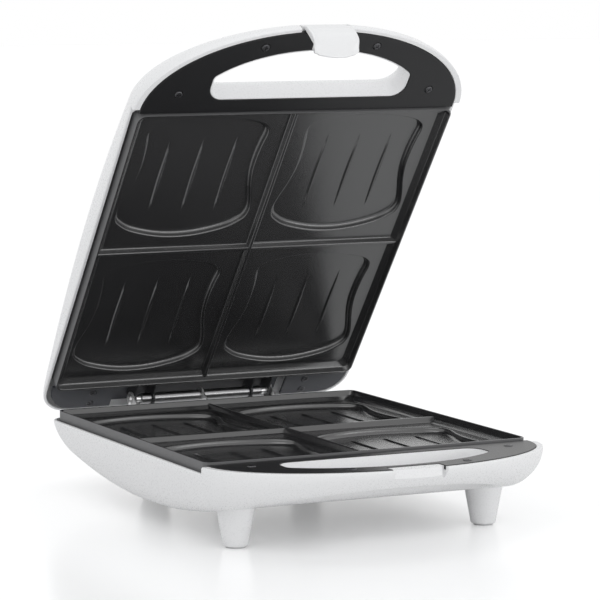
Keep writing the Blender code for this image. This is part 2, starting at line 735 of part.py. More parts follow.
def build_shell(rear_overhang, corner, low, bow, round_end, is_lid):
    """One shell, open side up; the lid's is turned over afterwards."""
    rear = half_depth + rear_overhang
    centre = (rear + handle_front) / 2
    reach = (rear - handle_front) / 2
    shell = bowl(hull_half(rear, corner), centre, handle_rim, shell_half, reach, reach,
                 round_side, round_end, round_end, low, bow, 0)
    if not is_lid:
        for x, y in feet:
            foot_top = bow_floor(y, low, bow) + hull_wall
            slope = (foot_top_radius - foot_bottom_radius) / foot_height
            post = turned(((0, foot_top), (foot_bottom_radius + slope * foot_top, foot_top),
                           (foot_bottom_radius, foot_lift), (0, foot_lift)), round_steps)
            add(shell, moved(post, Matrix.Translation((x, y, 0))))

    def height_at(x, y):
        return hull_height(x, y, centre, reach, round_end, low, bow)

    # Room for the heating, with what stands up in it left out of the cut
    high = handle_rim + cut_overrun
    inner_rear = rear - rim_wall
    front = -half_depth - seam_gap
    room = bowl(cavity_half(inner_rear, corner - rim_wall), front, high, shell_half - rim_wall,
                reach, inner_rear - front, inner_round_side, 0, round_end - hull_wall, low, bow, hull_wall)
    shelf_drop = lid_shelf_drop if is_lid else base_shelf_drop
    shelf_top = plate_crest_height - shelf_drop
    cut(room, block(-shelf_half_width, shelf_half_width, plate_rear + bracket_reach - seam_gap,
                    rear, shelf_top - shelf_sheet, shelf_top))
    for side in (-1, 1):
        for y in (-rest_rib_place, rest_rib_place):
            inside = shell_half - rim_wall - rest_rib_depth
            cut(room, block(min(side * inside, side * shell_half), max(side * inside, side * shell_half),
                            y - rest_rib_width / 2, y + rest_rib_width / 2, 0, skirt_bottom - fit_gap))
    if is_lid:
        liner_back = plate_crest_height - liner_drop - liner_sheet - fit_gap
        for side in (-1, 1):
            for row in liner_screw_rows:
                cut(room, disc(side * liner_screw_place, half_depth + row, boss_radius,
                               0, liner_back, screw_steps + 2))
        post_top = bow_floor(lamp_place_depth, low, bow) - lamp_proud + lamp_length
        cut(room, block(-lamp_post_half, lamp_post_half, lamp_place_depth - lamp_post_half,
                        lamp_place_depth + lamp_post_half, 0, post_top))
    else:
        half_x, half_y = block_size[0] / 2, block_size[1] / 2
        cut(room, block(block_place[0] - half_x, block_place[0] + half_x, block_place[1] - half_y,
                        block_place[1] + half_y, 0, block_seat_height))

    # Room inside the handle, round the finger opening, screw bosses and catch
    back = -half_depth - seam_gap - divider_wall
    hollow_half = arc_half(trim_arc_width - arc_ledge, trim_arc_reach - arc_ledge, back)
    hollow = bowl(hollow_half, back, high, trim_arc_width, trim_arc_reach - (arc_line - back),
                  trim_arc_reach, inner_round_side, round_end - hull_wall, 0, low, bow, hull_wall)
    cut(hollow, opening_flare(liner_wall, hull_wall, seat_height, height_at))
    for x, y in trim_screws:
        cut(hollow, disc(x, y, boss_radius, 0, seat_height, screw_steps + 2))
    middle = catch_half_width + catch_wall
    if is_lid:
        cut(hollow, block(-middle, middle, handle_front, notch_back + catch_wall, 0, seat_height))
    else:
        cut(hollow, block(-middle, middle, handle_front, catch_back, 0, seat_height))
    cut(shell, room, hollow)

    # Seat of the trim, its opening and screw holes
    seat = mirrored(arc_half(trim_arc_width + fit_gap, trim_arc_reach + fit_gap, front + cut_overrun))
    seat_tool = prism(seat, seat_height, high)
    if not is_lid:
        room_for_catch = catch_half_width - fit_gap
        cut(seat_tool, block(-room_for_catch, room_for_catch, handle_front - cut_overrun,
                             strip_front - fit_gap, 0, handle_rim + trim_proud))
    cut(shell, seat_tool)
    cut(shell, opening_flare(0, 0, high, height_at))
    for x, y in trim_screws:
        cut(shell, disc(x, y, screw_shank_radius + fit_gap, seat_height - trim_screw_length, high,
                        screw_steps))

    # The rim steps down beside and behind the plate
    step = arc_line - step_setback + arc_line_setback
    inside = shell_half - rim_wall - seam_gap
    outside = shell_half + cut_overrun
    cut(shell, prism(((-outside, step), (-inside, step), (-inside, half_depth), (inside, half_depth),
                      (inside, step), (outside, step), (outside, rear + cut_overrun),
                      (-outside, rear + cut_overrun)), side_rim, high))

    # Bracket screw holes in the shelf
    for side in (-1, 1):
        cut(shell, disc(side * bracket_screw_place, bracket_screw_line, screw_shank_radius + fit_gap,
                        shelf_top - shelf_sheet - cut_overrun, shelf_top + cut_overrun, screw_steps))
    if is_lid:
        latch_room = latch_half_width + latch_notch_gap
        cut(shell, block(-latch_room, latch_room, handle_front - cut_overrun, notch_back, 0, high))
        cut(shell, side_prism(circle(latch_axis_y, handle_rim - latch_axis_height,
                                     latch_pin_radius + fit_gap, screw_steps),
                              -latch_pin_half - fit_gap, latch_pin_half + fit_gap))
        for side in (-1, 1):
            cut(shell, disc(side * lamp_place_side, lamp_place_depth, lamp_radius + fit_gap, 0,
                            lid_lamp_floor + hull_wall + cut_overrun, round_steps))
            for row in liner_screw_rows:
                cut(shell, disc(side * liner_screw_place, half_depth + row,
                                screw_shank_radius + fit_gap,
                                plate_crest_height - liner_drop - liner_sheet - trim_screw_length,
                                plate_crest_height, screw_steps))
    else:
        cut(shell, block(-catch_half_width, catch_half_width, handle_front - cut_overrun, catch_face,
                         0, high))
        cut(shell, block(-catch_half_width, catch_half_width, handle_front - cut_overrun, catch_hook,
                         0, catch_ledge))
        for x, y in feet:
            cut(shell, disc(x, y, pad_radius + fit_gap, 0, foot_lift + pad_socket_depth))
        cut(shell, disc(*gland_place, gland_radius + fit_gap, 0,
                        bow_floor(gland_place[1], low, bow) + hull_wall + cut_overrun))
    return shell


bracket_screw_place = lower_ear_span / 4
bracket_screw_line = plate_rear + bracket_reach + bracket_depth / 2
latch_pin_half = latch_half_width + latch_notch_gap + catch_wall / 2
lid_lamp_floor = bow_floor(lamp_place_depth, lid_low_height, lid_bow_radius)
board_x, board_y, board_z = lamp_board_size
lamp_low = lid_lamp_floor - lamp_proud
lamp_board_low = reflector_bottom - reflector_edge - lamp_board_gap - board_z
lamp_length = lamp_board_low - fit_gap - lamp_low


def build_trim(for_lid):
    """Black cover of the handle with its finger opening and sunk screw seats."""
    front = -half_depth - seam_gap
    trim = prism(mirrored(arc_half(trim_arc_width, trim_arc_reach, front)), trim_bottom, trim_top)
    cut(trim, prism(opening_outline(), trim_bottom - cut_overrun, trim_top + cut_overrun))
    if not for_lid:
        cut(trim, block(-catch_half_width, catch_half_width, handle_front - cut_overrun, strip_front,
                        trim_bottom - cut_overrun, trim_top + cut_overrun))
    for x, y in trim_screws:
        cut(trim, disc(x, y, screw_shank_radius + fit_gap, trim_bottom - cut_overrun,
                       trim_top + cut_overrun, screw_steps))
        cut(trim, disc(x, y, screw_head_radius + fit_gap, trim_top - screw_sink,
                       trim_top + cut_overrun, screw_steps + 2))
    return trim


# Cooking plates
def pocket_ring(centre_x, centre_y, flip, distance, height):
    """The toast outline as (point list); flip mirrors it for the left side."""
    right = [(u * pocket_half_width, v * pocket_half_length) for u, v in pocket_side_shares]
    top = [(u * pocket_half_width, v * pocket_half_length) for u, v in pocket_top_shares]
    bottom = [(u * pocket_half_width, v * pocket_half_length) for u, v in pocket_bottom_shares]
    half = top + right + bottom
    full = mirrored(half)
    if distance:
        full = grown(full, distance)
    side = -1 if flip else 1
    return [(centre_x + side * x, centre_y + y, height) for x, y in full]


def cell_ring(x0, x1, y0, y1, heights):
    """Points round a cell in the same order as the toast outline.

    heights holds the z of the top, outer, bottom and inner sides and of the four corners.
    """
    top_z, outer_z, bottom_z, inner_z, corner_z = heights
    middle_x = (x0 + x1) / 2
    reach = (x1 - x0) / 2
    depth = y1 - y0
    top_points = [(middle_x, y0, top_z)]
    for share in end_shares:
        top_points.append((middle_x + reach * share, y0, top_z))
    right = [(x1, y0, corner_z[0])]
    for share in side_shares:
        right.append((x1, y0 + depth * share, outer_z))
    right.append((x1, y1, corner_z[1]))
    bottom = []
    for share in reversed(end_shares):
        bottom.append((middle_x + reach * share, y1, bottom_z))
    bottom.append((middle_x, y1, bottom_z))
    left = [(middle_x - reach * share, y1, bottom_z) for share in end_shares]
    left.append((x0, y1, corner_z[2]))
    for share in reversed(side_shares):
        left.append((x0, y0 + depth * share, inner_z))
    left.append((x0, y0, corner_z[3]))
    left += [(middle_x - reach * share, y0, top_z) for share in reversed(end_shares)]
    return top_points + right + bottom + left


def build_plate():
    """One cast plate, crest up: outer rim, cross ribs, four toast pockets, skirt and bosses."""
    bm = bmesh.new()
    crest = plate_crest_height
    rib = crest - rib_drop
    wall_foot = crest - rim_wall_drop

    def skin(rings):
        loops = [[bm.verts.new(point) for point in ring] for ring in rings]
        for one, two in zip(loops, loops[1:]):
            for i in range(len(one)):
                j = (i + 1) % len(one)
                quad = (one[i], one[j], two[j], two[i])
                bm.faces.new(quad)
        bm.faces.new(loops[-1])

    def quad_strip(one, two):
        for i in range(len(one) - 1):
            corners = [bm.verts.new(p) for p in (one[i], one[i + 1], two[i + 1], two[i])]
            bm.faces.new(corners)

    for side in (-1, 1):
        for front in (True, False):
            y0, y1 = (-half_depth, rib_line) if front else (rib_line, plate_rear)
            if front:
                centre_y = y0 + pocket_front_margin + pocket_half_length
            else:
                centre_y = half_depth - pocket_rear_margin - pocket_half_length
            centre_x = side * half_width / 2
            corner_cut = plate_corner * (1 - math.sqrt(0.5))

            def ring(top_in, outer_in, bottom_in, inner_in, rim_z, rib_z, corner=0.0):
                top_z, bottom_z = (rim_z, rib_z) if front else (rib_z, rim_z)
                front_corner = rim_z if front else rib_z
                rear_corner = rib_z if front else rim_z
                points = cell_ring(inner_in, half_width - outer_in, y0 + top_in, y1 - bottom_in,
                                   (top_z, rim_z, bottom_z, rib_z,
                                    (rim_z, rim_z, rear_corner, front_corner)))
                result = []
                for x, y, z in points:
                    if corner and x == half_width - outer_in:
                        if (front and y == y0 + top_in) or (not front and y == y1 - bottom_in):
                            x -= corner
                            y += corner if front else -corner
                    result.append((side * x, y, z))
                return result

            def insets(rim_in, rib_in):
                if front:
                    return rim_in, rim_in, rib_in, rib_in
                return rib_in, rim_in, rim_in, rib_in

            land = insets(crest_land, rib_half_top)
            foot = insets(crest_land + rim_wall_run, rib_half_top + rib_run)
            ledge = insets(crest_land + rim_wall_run + ledge_run, rib_half_top + rib_run + rib_ledge)
            flip = side < 0
            top_rings = [
                ring(0, 0, 0, 0, crest, rib, corner_cut),
                ring(*land, crest, rib, corner_cut),
                ring(*foot, wall_foot, field_height, corner_cut),
                ring(*ledge, field_height, field_height),
                pocket_ring(centre_x, centre_y, flip, pocket_lip, field_height),
                pocket_ring(centre_x, centre_y, flip, 0, field_height - pocket_lip_drop),
                pocket_ring(centre_x, centre_y, flip, -pocket_wall_run,
                            field_height - pocket_lip_drop - pocket_wall_drop),
                pocket_ring(centre_x, centre_y, flip, -pocket_wall_run - pocket_fillet_run,
                            floor_height),
            ]
            skin(top_rings)
            skirt_in = insets(plate_skin, 0)
            under_rings = [
                ring(*skirt_in, plate_under, plate_under, corner_cut),
                pocket_ring(centre_x, centre_y, flip, pocket_lip + pocket_fillet_run, plate_under),
                pocket_ring(centre_x, centre_y, flip, -pocket_fillet_run, floor_under),
            ]
            skin(under_rings)
            # Skirt along the outer sides of this quarter
            outer = top_rings[0]
            inner = under_rings[0]
            count = len(outer)

            def on_rim(point):
                flat = abs(abs(point[0]) - half_width) < corner_cut + fit_gap
                end = min(abs(point[1] + half_depth), abs(point[1] - plate_rear)) < corner_cut + fit_gap
                return flat or end

            start = 0
            while on_rim(outer[start - 1]):
                start -= 1
            while not on_rim(outer[start]):
                start += 1
            chain = []
            i = start
            while on_rim(outer[i % count]) and len(chain) < count:
                chain.append(i % count)
                i += 1
            rim_line = [outer[k] for k in chain]
            under_line = [inner[k] for k in chain]
            low_out = [(x, y, skirt_bottom) for x, y, z in rim_line]
            low_in = [(x, y, skirt_bottom) for x, y, z in under_line]
            quad_strip(rim_line, low_out)
            quad_strip(low_out, low_in)
            quad_strip(low_in, under_line)
    plate = new_object("plate", bm)
    # Three score ridges on each pocket's floor
    ridges = bmesh.new()
    for side in (-1, 1):
        for front in (True, False):
            if front:
                centre_y = -half_depth + pocket_front_margin + pocket_half_length - score_offset
            else:
                centre_y = half_depth - pocket_rear_margin - pocket_half_length - score_offset
            for k in (-1, 0, 1):
                x = side * half_width / 2 + k * score_pitch
                ends = []
                for y in (centre_y - score_length / 2, centre_y + score_length / 2):
                    ends.append([ridges.verts.new((x - score_width / 2, y, floor_height - score_height)),
                                 ridges.verts.new((x + score_width / 2, y, floor_height - score_height)),
                                 ridges.verts.new((x + score_width / 2, y, floor_height)),
                                 ridges.verts.new((x, y, floor_height + score_height)),
                                 ridges.verts.new((x - score_width / 2, y, floor_height))])
                one, two = ends
                ridges.faces.new(one)
                ridges.faces.new(two)
                for i in range(len(one)):
                    j = (i + 1) % len(one)
                    ridges.faces.new((one[i], one[j], two[j], two[i]))
    add(plate, new_object("ridges", ridges))
    for y in plate_boss_places:
        boss = disc(0, y, plate_boss_radius, reflector_top + fit_gap, plate_under + plate_skin / 2,
                    screw_steps + 2)
        add(plate, boss)
        cut(plate, disc(0, y, screw_shank_radius + fit_gap, reflector_top,
                        reflector_top + plate_screw_length, screw_steps))
    return plate


def build_screw(length):
    """Pan head screw, head up, its seat at zero height."""
    top = screw_head_height
    return turned(((0, top), (screw_head_radius * crown_share, top),
                   (screw_head_radius, top * head_edge_share),
                   (screw_head_radius, 0), (screw_shank_radius, 0),
                   (screw_shank_radius, -length + screw_shank_radius), (0, -length)), screw_steps)


def build_heater():
    """Sheathed heating rod bent to a U, its ends at the hinge side."""
    place = heater_leg_place
    points = [(-place, heater_rear_place, heater_height)]
    points.append((-place, 0, heater_height))
    for i in range(corner_steps + 1):
        angle = math.pi + math.pi / 2 * i / corner_steps
        points.append((-place + heater_bend + heater_bend * math.cos(angle),
                       heater_front_place + heater_bend + heater_bend * math.sin(angle), heater_height))
    for i in range(corner_steps + 1):
        angle = -math.pi / 2 + math.pi / 2 * i / corner_steps
        points.append((place - heater_bend + heater_bend * math.cos(angle),
                       heater_front_place + heater_bend + heater_bend * math.sin(angle), heater_height))
    points.append((place, 0, heater_height))
    points.append((place, heater_rear_place, heater_height))
    return tube(points, heater_radius)


def build_reflector():
    """Bright sheet under the heater, its edges turned away from the plate."""
    x, y = reflector_half_width, reflector_half_depth
    pan = block(-x, x, -y, y, reflector_bottom - reflector_edge, reflector_top)
    sheet = reflector_sheet
    cut(pan, block(-x + sheet, x - sheet, -y + sheet, y - sheet,
                   reflector_bottom - reflector_edge - cut_overrun, reflector_bottom))
    for place in plate_boss_places:
        cut(pan, disc(0, place, screw_shank_radius + fit_gap, reflector_bottom - cut_overrun,
                      reflector_top + cut_overrun, screw_steps))
    return pan


def ear_outline(web_low, web_high, front, back):
    """Sheet ear in Y and Z: its foot on the web and its round end about the axis."""
    points = [(front, web_low), (back, web_low), (back, web_high)]
    for i in range(screw_steps + 1):
        angle = math.radians(-100) + math.radians(250) * i / screw_steps
        points.append((axis_y + ear_radius * math.cos(angle), axis_z + ear_radius * math.sin(angle)))
    points.append((front, axis_z - ear_radius / 2))
    return points


def build_lower_bracket():
    """Chromed channel on the base's rear shelf: two ears and a middle tab on the rod."""
    web_low = plate_crest_height - base_shelf_drop + fit_gap
    front = plate_rear + bracket_reach
    back = front + bracket_depth
    half_span = lower_ear_span / 2
    web_high = web_low + ear_sheet
    bracket = side_prism(ear_outline(web_low, web_high, front, back), -half_span, half_span)
    for left, right in ((-half_span + ear_sheet, -ear_sheet / 2), (ear_sheet / 2, half_span - ear_sheet)):
        cut(bracket, block(left, right, front - cut_overrun, axis_y + ear_radius + cut_overrun,
                           web_high, axis_z + ear_radius + cut_overrun))
    cut(bracket, side_prism(circle(axis_y, axis_z, rod_radius + fit_gap, sleeve_steps),
                            -half_span - cut_overrun, half_span + cut_overrun))
    for side in (-1, 1):
        cut(bracket, disc(side * bracket_screw_place, bracket_screw_line,
                          screw_shank_radius + fit_gap, web_low - cut_overrun,
                          web_high + cut_overrun, screw_steps))
    return bracket


def build_upper_bracket():
    """The lid's channel, modelled with the lid shut: ears inside the lower ones, two inner tabs."""
    web_high = 2 * shut_middle - (plate_crest_height - lid_shelf_drop) - fit_gap
    web_low = web_high - ear_sheet
    front = plate_rear + bracket_reach
    back = half_depth + bracket_reach + upper_bracket_depth
    half_span = lower_ear_span / 2 - ear_sheet - ear_side_gap
    points = [(front, web_high), (back, web_high)]
    for i in range(screw_steps + 1):
        angle = math.radians(60) - math.radians(220) * i / screw_steps
        points.append((axis_y + ear_radius * math.cos(angle), axis_z + ear_radius * math.sin(angle)))
    points.append((front, axis_z - ear_radius / 3))
    bracket = side_prism(points, -half_span, half_span)
    tab = upper_tab_place - ear_sheet / 2
    ear = half_span - ear_sheet
    for left, right in ((-ear, -tab - ear_sheet), (-tab, tab), (tab + ear_sheet, ear)):
        cut(bracket, block(left, right, front - cut_overrun, back + cut_overrun,
                           axis_z - ear_radius - cut_overrun, web_low))
    cut(bracket, side_prism(circle(axis_y, axis_z, rod_radius + fit_gap, sleeve_steps),
                            -half_span - cut_overrun, half_span + cut_overrun))
    for side in (-1, 1):
        cut(bracket, disc(side * bracket_screw_place, bracket_screw_line,
                          screw_shank_radius + fit_gap, web_low - cut_overrun,
                          web_high + cut_overrun, screw_steps))
    return bracket


def on_axis(profile, steps):
    """Turn a profile about the hinge axis; its heights become places along X."""
    piece = turned(profile, steps)
    piece.data.transform(Matrix.Translation(hinge_point) @ Matrix.Rotation(math.pi / 2, 4, 'Y'))
    return piece


def build_sleeve(start, end):
    bore = rod_radius + sleeve_bore_gap
    return on_axis(((sleeve_radius, end), (sleeve_radius, start), (bore, start), (bore, end)),
                   sleeve_steps)


# Base
base_shell = build_shell(base_rear_overhang, base_rear_corner, base_low_height, base_bow_radius,
                         base_round_end, False)
finish(base_shell, "base_shell", white, 0.30)
finish(build_trim(False), "base_trim", black, 0.34)
lower_plate = finish(build_plate(), "lower_plate", charcoal, 0.42)
finish(build_heater(), "lower_heater", grey_metal, 0.35, 1.0)
finish(build_reflector(), "lower_reflector", steel, 0.30, 1.0)
for number, (x, y) in enumerate(trim_screws, 1):
    screw = moved(build_screw(trim_screw_length), Matrix.Translation((x, y, trim_top - screw_sink + fit_gap)))
    finish(screw, f"base_trim_screw_{number}", black, 0.35, 1.0)
for number, (x, y) in enumerate(feet, 1):
    pad = disc(x, y, pad_radius, 0, foot_lift + pad_socket_depth - fit_gap)
    finish(pad, f"foot_pad_{number}", rubber_grey, 0.75)
for number, y in enumerate(plate_boss_places, 1):
    screw = moved(build_screw(plate_screw_length), Matrix.Translation((0, y, reflector_bottom - fit_gap))
                  @ Matrix.Rotation(math.pi, 4, 'X'))
    finish(screw, f"lower_plate_screw_{number}", steel, 0.3, 1.0)

thermostat = disc(*thermostat_place, thermostat_radius, reflector_bottom - fit_gap - thermostat_height,
                  reflector_bottom - fit_gap)
finish(thermostat, "thermostat", ceramic, 0.55)
fuse = turned(((0, fuse_length / 2), (fuse_radius, fuse_length / 2), (fuse_radius, -fuse_length / 2),
               (0, -fuse_length / 2)), screw_steps + 2)
moved(fuse, Matrix.Translation((*fuse_place, reflector_bottom - fit_gap - fuse_radius))
      @ Matrix.Rotation(math.pi / 2, 4, 'Y'))
finish(fuse, "thermal_fuse", ceramic, 0.5)
half_x, half_y = block_size[0] / 2, block_size[1] / 2
terminal = block(block_place[0] - half_x, block_place[0] + half_x, block_place[1] - half_y,
                 block_place[1] + half_y, block_seat_height + fit_gap,
                 block_seat_height + fit_gap + block_size[2])
finish(terminal, "terminal_block", ceramic, 0.6, smooth=False)


def lead(side):
    """Lead from the terminal block over the shell's floor and up to a heater end."""
    start_x = block_place[0] + side * block_size[0] / 4
    end_x = side * heater_leg_place
    start_y = block_place[1] + block_size[1] / 2 + fit_gap
    rear = reflector_half_depth + 2 * wire_radius
    turn_y = rear - wire_bend
    low = bow_floor(turn_y, base_low_height, base_bow_radius) + hull_wall + wire_radius + seam_gap
    points = []
    for k in range(lead_steps + 1):
        share = k / lead_steps
        sway = (1 - math.cos(math.pi * share)) / 2
        points.append((start_x + (end_x - start_x) * sway, start_y + (turn_y - start_y) * share,
                       wire_lane + (low - wire_lane) * share))
    for k in range(1, corner_steps + 1):
        angle = math.pi / 2 * k / corner_steps
        points.append((end_x, turn_y + wire_bend * math.sin(angle),
                       low + wire_bend * (1 - math.cos(angle))))
    points.append((end_x, rear, heater_height - heater_radius - fit_gap))
    return tube(points, wire_radius)


finish(lead(-1), "heater_lead_blue", blue_wire, 0.5)
finish(lead(1), "heater_lead_red", red_wire, 0.5)
gland_floor = bow_floor(gland_place[1], base_low_height, base_bow_radius)
gland_seat = gland_floor + hull_wall + gland_flange_height
gland = turned(((gland_flange_radius, gland_seat + gland_flange_height), (gland_flange_radius, gland_seat),
                (gland_radius, gland_seat), (gland_radius * gland_taper_share, gland_seat - gland_length),
                (gland_bore_radius, gland_seat - gland_length),
                (gland_bore_radius, gland_seat + gland_flange_height)), sleeve_steps)
finish(moved(gland, Matrix.Translation((*gland_place, 0))), "cord_gland", black, 0.6)

# Hinge
finish(build_lower_bracket(), "hinge_bracket_lower", steel, 0.16, 1.0, smooth=True)
for number, side in enumerate((-1, 1), 1):
    web_top = plate_crest_height - base_shelf_drop + fit_gap + ear_sheet
    screw = moved(build_screw(bracket_screw_length),
                  Matrix.Translation((side * bracket_screw_place, bracket_screw_line, web_top + fit_gap)))
    finish(screw, f"lower_bracket_screw_{number}", steel, 0.25, 1.0)
rod_end = lower_ear_span / 2 + fit_gap
finish(on_axis(((0, rod_end + rod_head_height), (rod_head_radius * crown_share, rod_end + rod_head_height),
                (rod_head_radius, rod_end), (rod_radius, rod_end), (rod_radius, -rod_end),
                (rod_head_radius, -rod_end), (rod_head_radius * crown_share, -rod_end - rod_head_height),
                (0, -rod_end - rod_head_height)), sleeve_steps), "hinge_rod", steel, 0.22, 1.0)
inner_start = ear_sheet / 2 + sleeve_tab_gap
inner_end = upper_tab_place - ear_sheet / 2 - sleeve_tab_gap
outer_start = upper_tab_place + ear_sheet / 2 + sleeve_tab_gap
outer_end = outer_start + short_sleeve_length
finish(build_sleeve(-inner_end, -inner_start), "long_sleeve_left", grey_metal, 0.28, 1.0)
finish(build_sleeve(inner_start, inner_end), "long_sleeve_right", grey_metal, 0.28, 1.0)
finish(build_sleeve(-outer_end, -outer_start), "short_sleeve_left", grey_metal, 0.28, 1.0)
finish(build_sleeve(outer_start, outer_end), "short_sleeve_right", grey_metal, 0.28, 1.0)

# Lid, built shut and then opened about the hinge axis
lid_pieces = []


def lid_piece(obj, name, colour, roughness, metallic=0.0, turn=True, smooth=True):
    if turn:
        moved(obj, turn_over)
    finish(obj, name, colour, roughness, metallic, smooth)
    lid_pieces.append(obj)
    return obj


lid_piece(build_shell(lid_rear_overhang, lid_rear_corner, lid_low_height, lid_bow_radius,
                      lid_round_end, True), "lid_shell", white, 0.30)
lid_piece(build_trim(True), "lid_trim", black, 0.34)
lid_piece(build_plate(), "upper_plate", charcoal, 0.42)
lid_piece(build_heater(), "upper_heater", grey_metal, 0.35, 1.0)
lid_piece(build_reflector(), "upper_reflector", steel, 0.30, 1.0)
for number, (x, y) in enumerate(trim_screws, 1):
    screw = moved(build_screw(trim_screw_length), Matrix.Translation((x, y, trim_top - screw_sink + fit_gap)))
    lid_piece(screw, f"lid_trim_screw_{number}", black, 0.35, 1.0)
for number, y in enumerate(plate_boss_places, 1):
    screw = moved(build_screw(plate_screw_length), Matrix.Translation((0, y, reflector_bottom - fit_gap))
                  @ Matrix.Rotation(math.pi, 4, 'X'))
    lid_piece(screw, f"upper_plate_screw_{number}", steel, 0.3, 1.0)

liner_face = plate_crest_height - liner_drop
liner_rear = half_depth + lid_rear_overhang - rim_wall - liner_edge_gap
liner_front = plate_rear + seam_gap
liner_corner = lid_rear_corner - rim_wall
for side, word in ((-1, "right"), (1, "left")):
    corner_points = [(side * liner_inner_place, liner_front), (side * liner_side, liner_front)]
    for i in range(corner_steps + 1):
        angle = math.pi / 2 * i / corner_steps
        corner_points.append((side * (liner_side - liner_corner + liner_corner * math.cos(angle)),
                              liner_rear - liner_corner + liner_corner * math.sin(angle)))
    corner_points.append((side * liner_inner_place, liner_rear))
    liner = prism(corner_points, liner_face - liner_sheet, liner_face)
    for row in liner_screw_rows:
        cut(liner, disc(side * liner_screw_place, half_depth + row, screw_shank_radius + fit_gap,
                        liner_face - liner_sheet - cut_overrun, liner_face + cut_overrun, screw_steps))
        cut(liner, disc(side * liner_screw_place, half_depth + row, screw_head_radius + fit_gap,
                        liner_face - screw_sink, liner_face + cut_overrun, screw_steps + 2))
    lid_piece(liner, f"rear_liner_{word}", liner_grey, 0.45)
    for number, row in enumerate(liner_screw_rows, 1):
        screw = moved(build_screw(trim_screw_length),
                      Matrix.Translation((side * liner_screw_place, half_depth + row,
                                          liner_face - screw_sink + fit_gap)))
        lid_piece(screw, f"rear_liner_screw_{word}_{number}", black, 0.4, 1.0)

lid_piece(build_upper_bracket(), "hinge_bracket_upper", steel, 0.16, 1.0, turn=False)
web_face = plate_crest_height - lid_shelf_drop + fit_gap + ear_sheet
for number, side in enumerate((-1, 1), 1):
    screw = moved(build_screw(bracket_screw_length),
                  Matrix.Translation((side * bracket_screw_place, bracket_screw_line, web_face + fit_gap)))
    lid_piece(screw, f"upper_bracket_screw_{number}", steel, 0.25, 1.0)

for side, word, colour in ((1, "red", red_lens), (-1, "green", green_lens)):
    lens = turned(((0, lamp_low + lamp_length), (lamp_radius, lamp_low + lamp_length),
                   (lamp_radius, lamp_low + lamp_flange), (lamp_radius * crown_share, lamp_low), (0, lamp_low)),
                  round_steps)
    moved(lens, Matrix.Translation((side * lamp_place_side, lamp_place_depth, 0)))
    lid_piece(lens, f"lamp_lens_{word}", colour, 0.12)
lid_piece(block(-board_x / 2, board_x / 2, lamp_place_depth - board_y / 2, lamp_place_depth + board_y / 2,
                lamp_board_low, lamp_board_low + board_z), "lamp_board", board_green, 0.6, smooth=False)

for piece in lid_pieces:
    hang_on_axis(piece, hinge_point)

# Latch, built shut as well; it swings on its own pin in the lid's rim
latch_axis = Vector((0, latch_axis_y, 2 * shut_middle - handle_rim + latch_axis_height))
rim_face = 2 * shut_middle - handle_rim
arm_back = catch_face - 2 * running_gap
arm_front = handle_front
lip_low = rim_face - latch_drop
hook_top = rim_face - latch_hook_drop
hook_low = hook_top - latch_hook_height
clip_points = []
for i in range(knuckle_steps + 1):
    angle = math.radians(20) + math.radians(160) * i / knuckle_steps
    clip_points.append((latch_axis.y + latch_knuckle * math.cos(angle),
                        latch_axis.z + latch_knuckle * math.sin(angle)))
clip_points.append((arm_front, rim_face + latch_axis_height / 3))
clip_points += [(arm_front - latch_bulge * out, rim_face - latch_drop * down)
                for out, down in latch_front_shares]
clip_points += [(arm_back + latch_hook_reach * inward, hook_low + latch_hook_height * up)
                for inward, up in latch_hook_shares]
clip_points += [(arm_back, hook_top), (arm_back, rim_face + latch_axis_height - latch_knuckle)]
for degrees in (-90, -35):
    angle = math.radians(degrees)
    clip_points.append((latch_axis.y + latch_knuckle * math.cos(angle),
                        latch_axis.z + latch_knuckle * math.sin(angle)))
clip = side_prism(clip_points, -latch_half_width, latch_half_width)
pin_gap = latch_pin_radius + fit_gap
cut(clip, side_prism(circle(latch_axis.y, latch_axis.z, pin_gap, screw_steps + 2),
                     -latch_half_width - cut_overrun, latch_half_width + cut_overrun))
# The finger lip's lower corners are cut back
for side in (-1, 1):
    outside = latch_half_width + fit_gap
    corner = prism(((side * outside, lip_low - cut_overrun), (side * outside, lip_low + latch_lip_corner),
                    (side * (latch_half_width - latch_lip_corner), lip_low - cut_overrun)),
                   handle_front - cut_overrun - latch_bulge, handle_front + catch_block_depth)
    cut(clip, moved(corner, Matrix(((1, 0, 0, 0), (0, 0, 1, 0), (0, 1, 0, 0), (0, 0, 0, 1)))))
finish(clip, "latch_clip", white, 0.28)
hang_on_axis(clip, latch_axis)
pin = side_prism(circle(latch_axis.y, latch_axis.z, latch_pin_radius, screw_steps + 2),
                 -latch_pin_half, latch_pin_half)
finish(pin, "latch_pin", steel, 0.25, 1.0)
hang_on_axis(pin, latch_axis)

# The origin goes under the middle of the whole outline
bpy.context.view_layer.update()
pieces = [obj for obj in bpy.data.objects if obj.type == 'MESH']
places = [(obj.matrix_world @ vert.co).y for obj in pieces for vert in obj.data.vertices]
middle = (min(places) + max(places)) / 2
for obj in pieces:
    obj.location.y -= middle
bpy.context.view_layer.update()
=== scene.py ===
"""Looks of the four-slice sandwich maker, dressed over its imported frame.

The finer pieces here are built upright and shut in the build frame, whose origin
lies under the middle of the cooking plates, and then moved to where the frame has them.
"""
import math

import bmesh
import bpy
from mathutils import Matrix, Vector


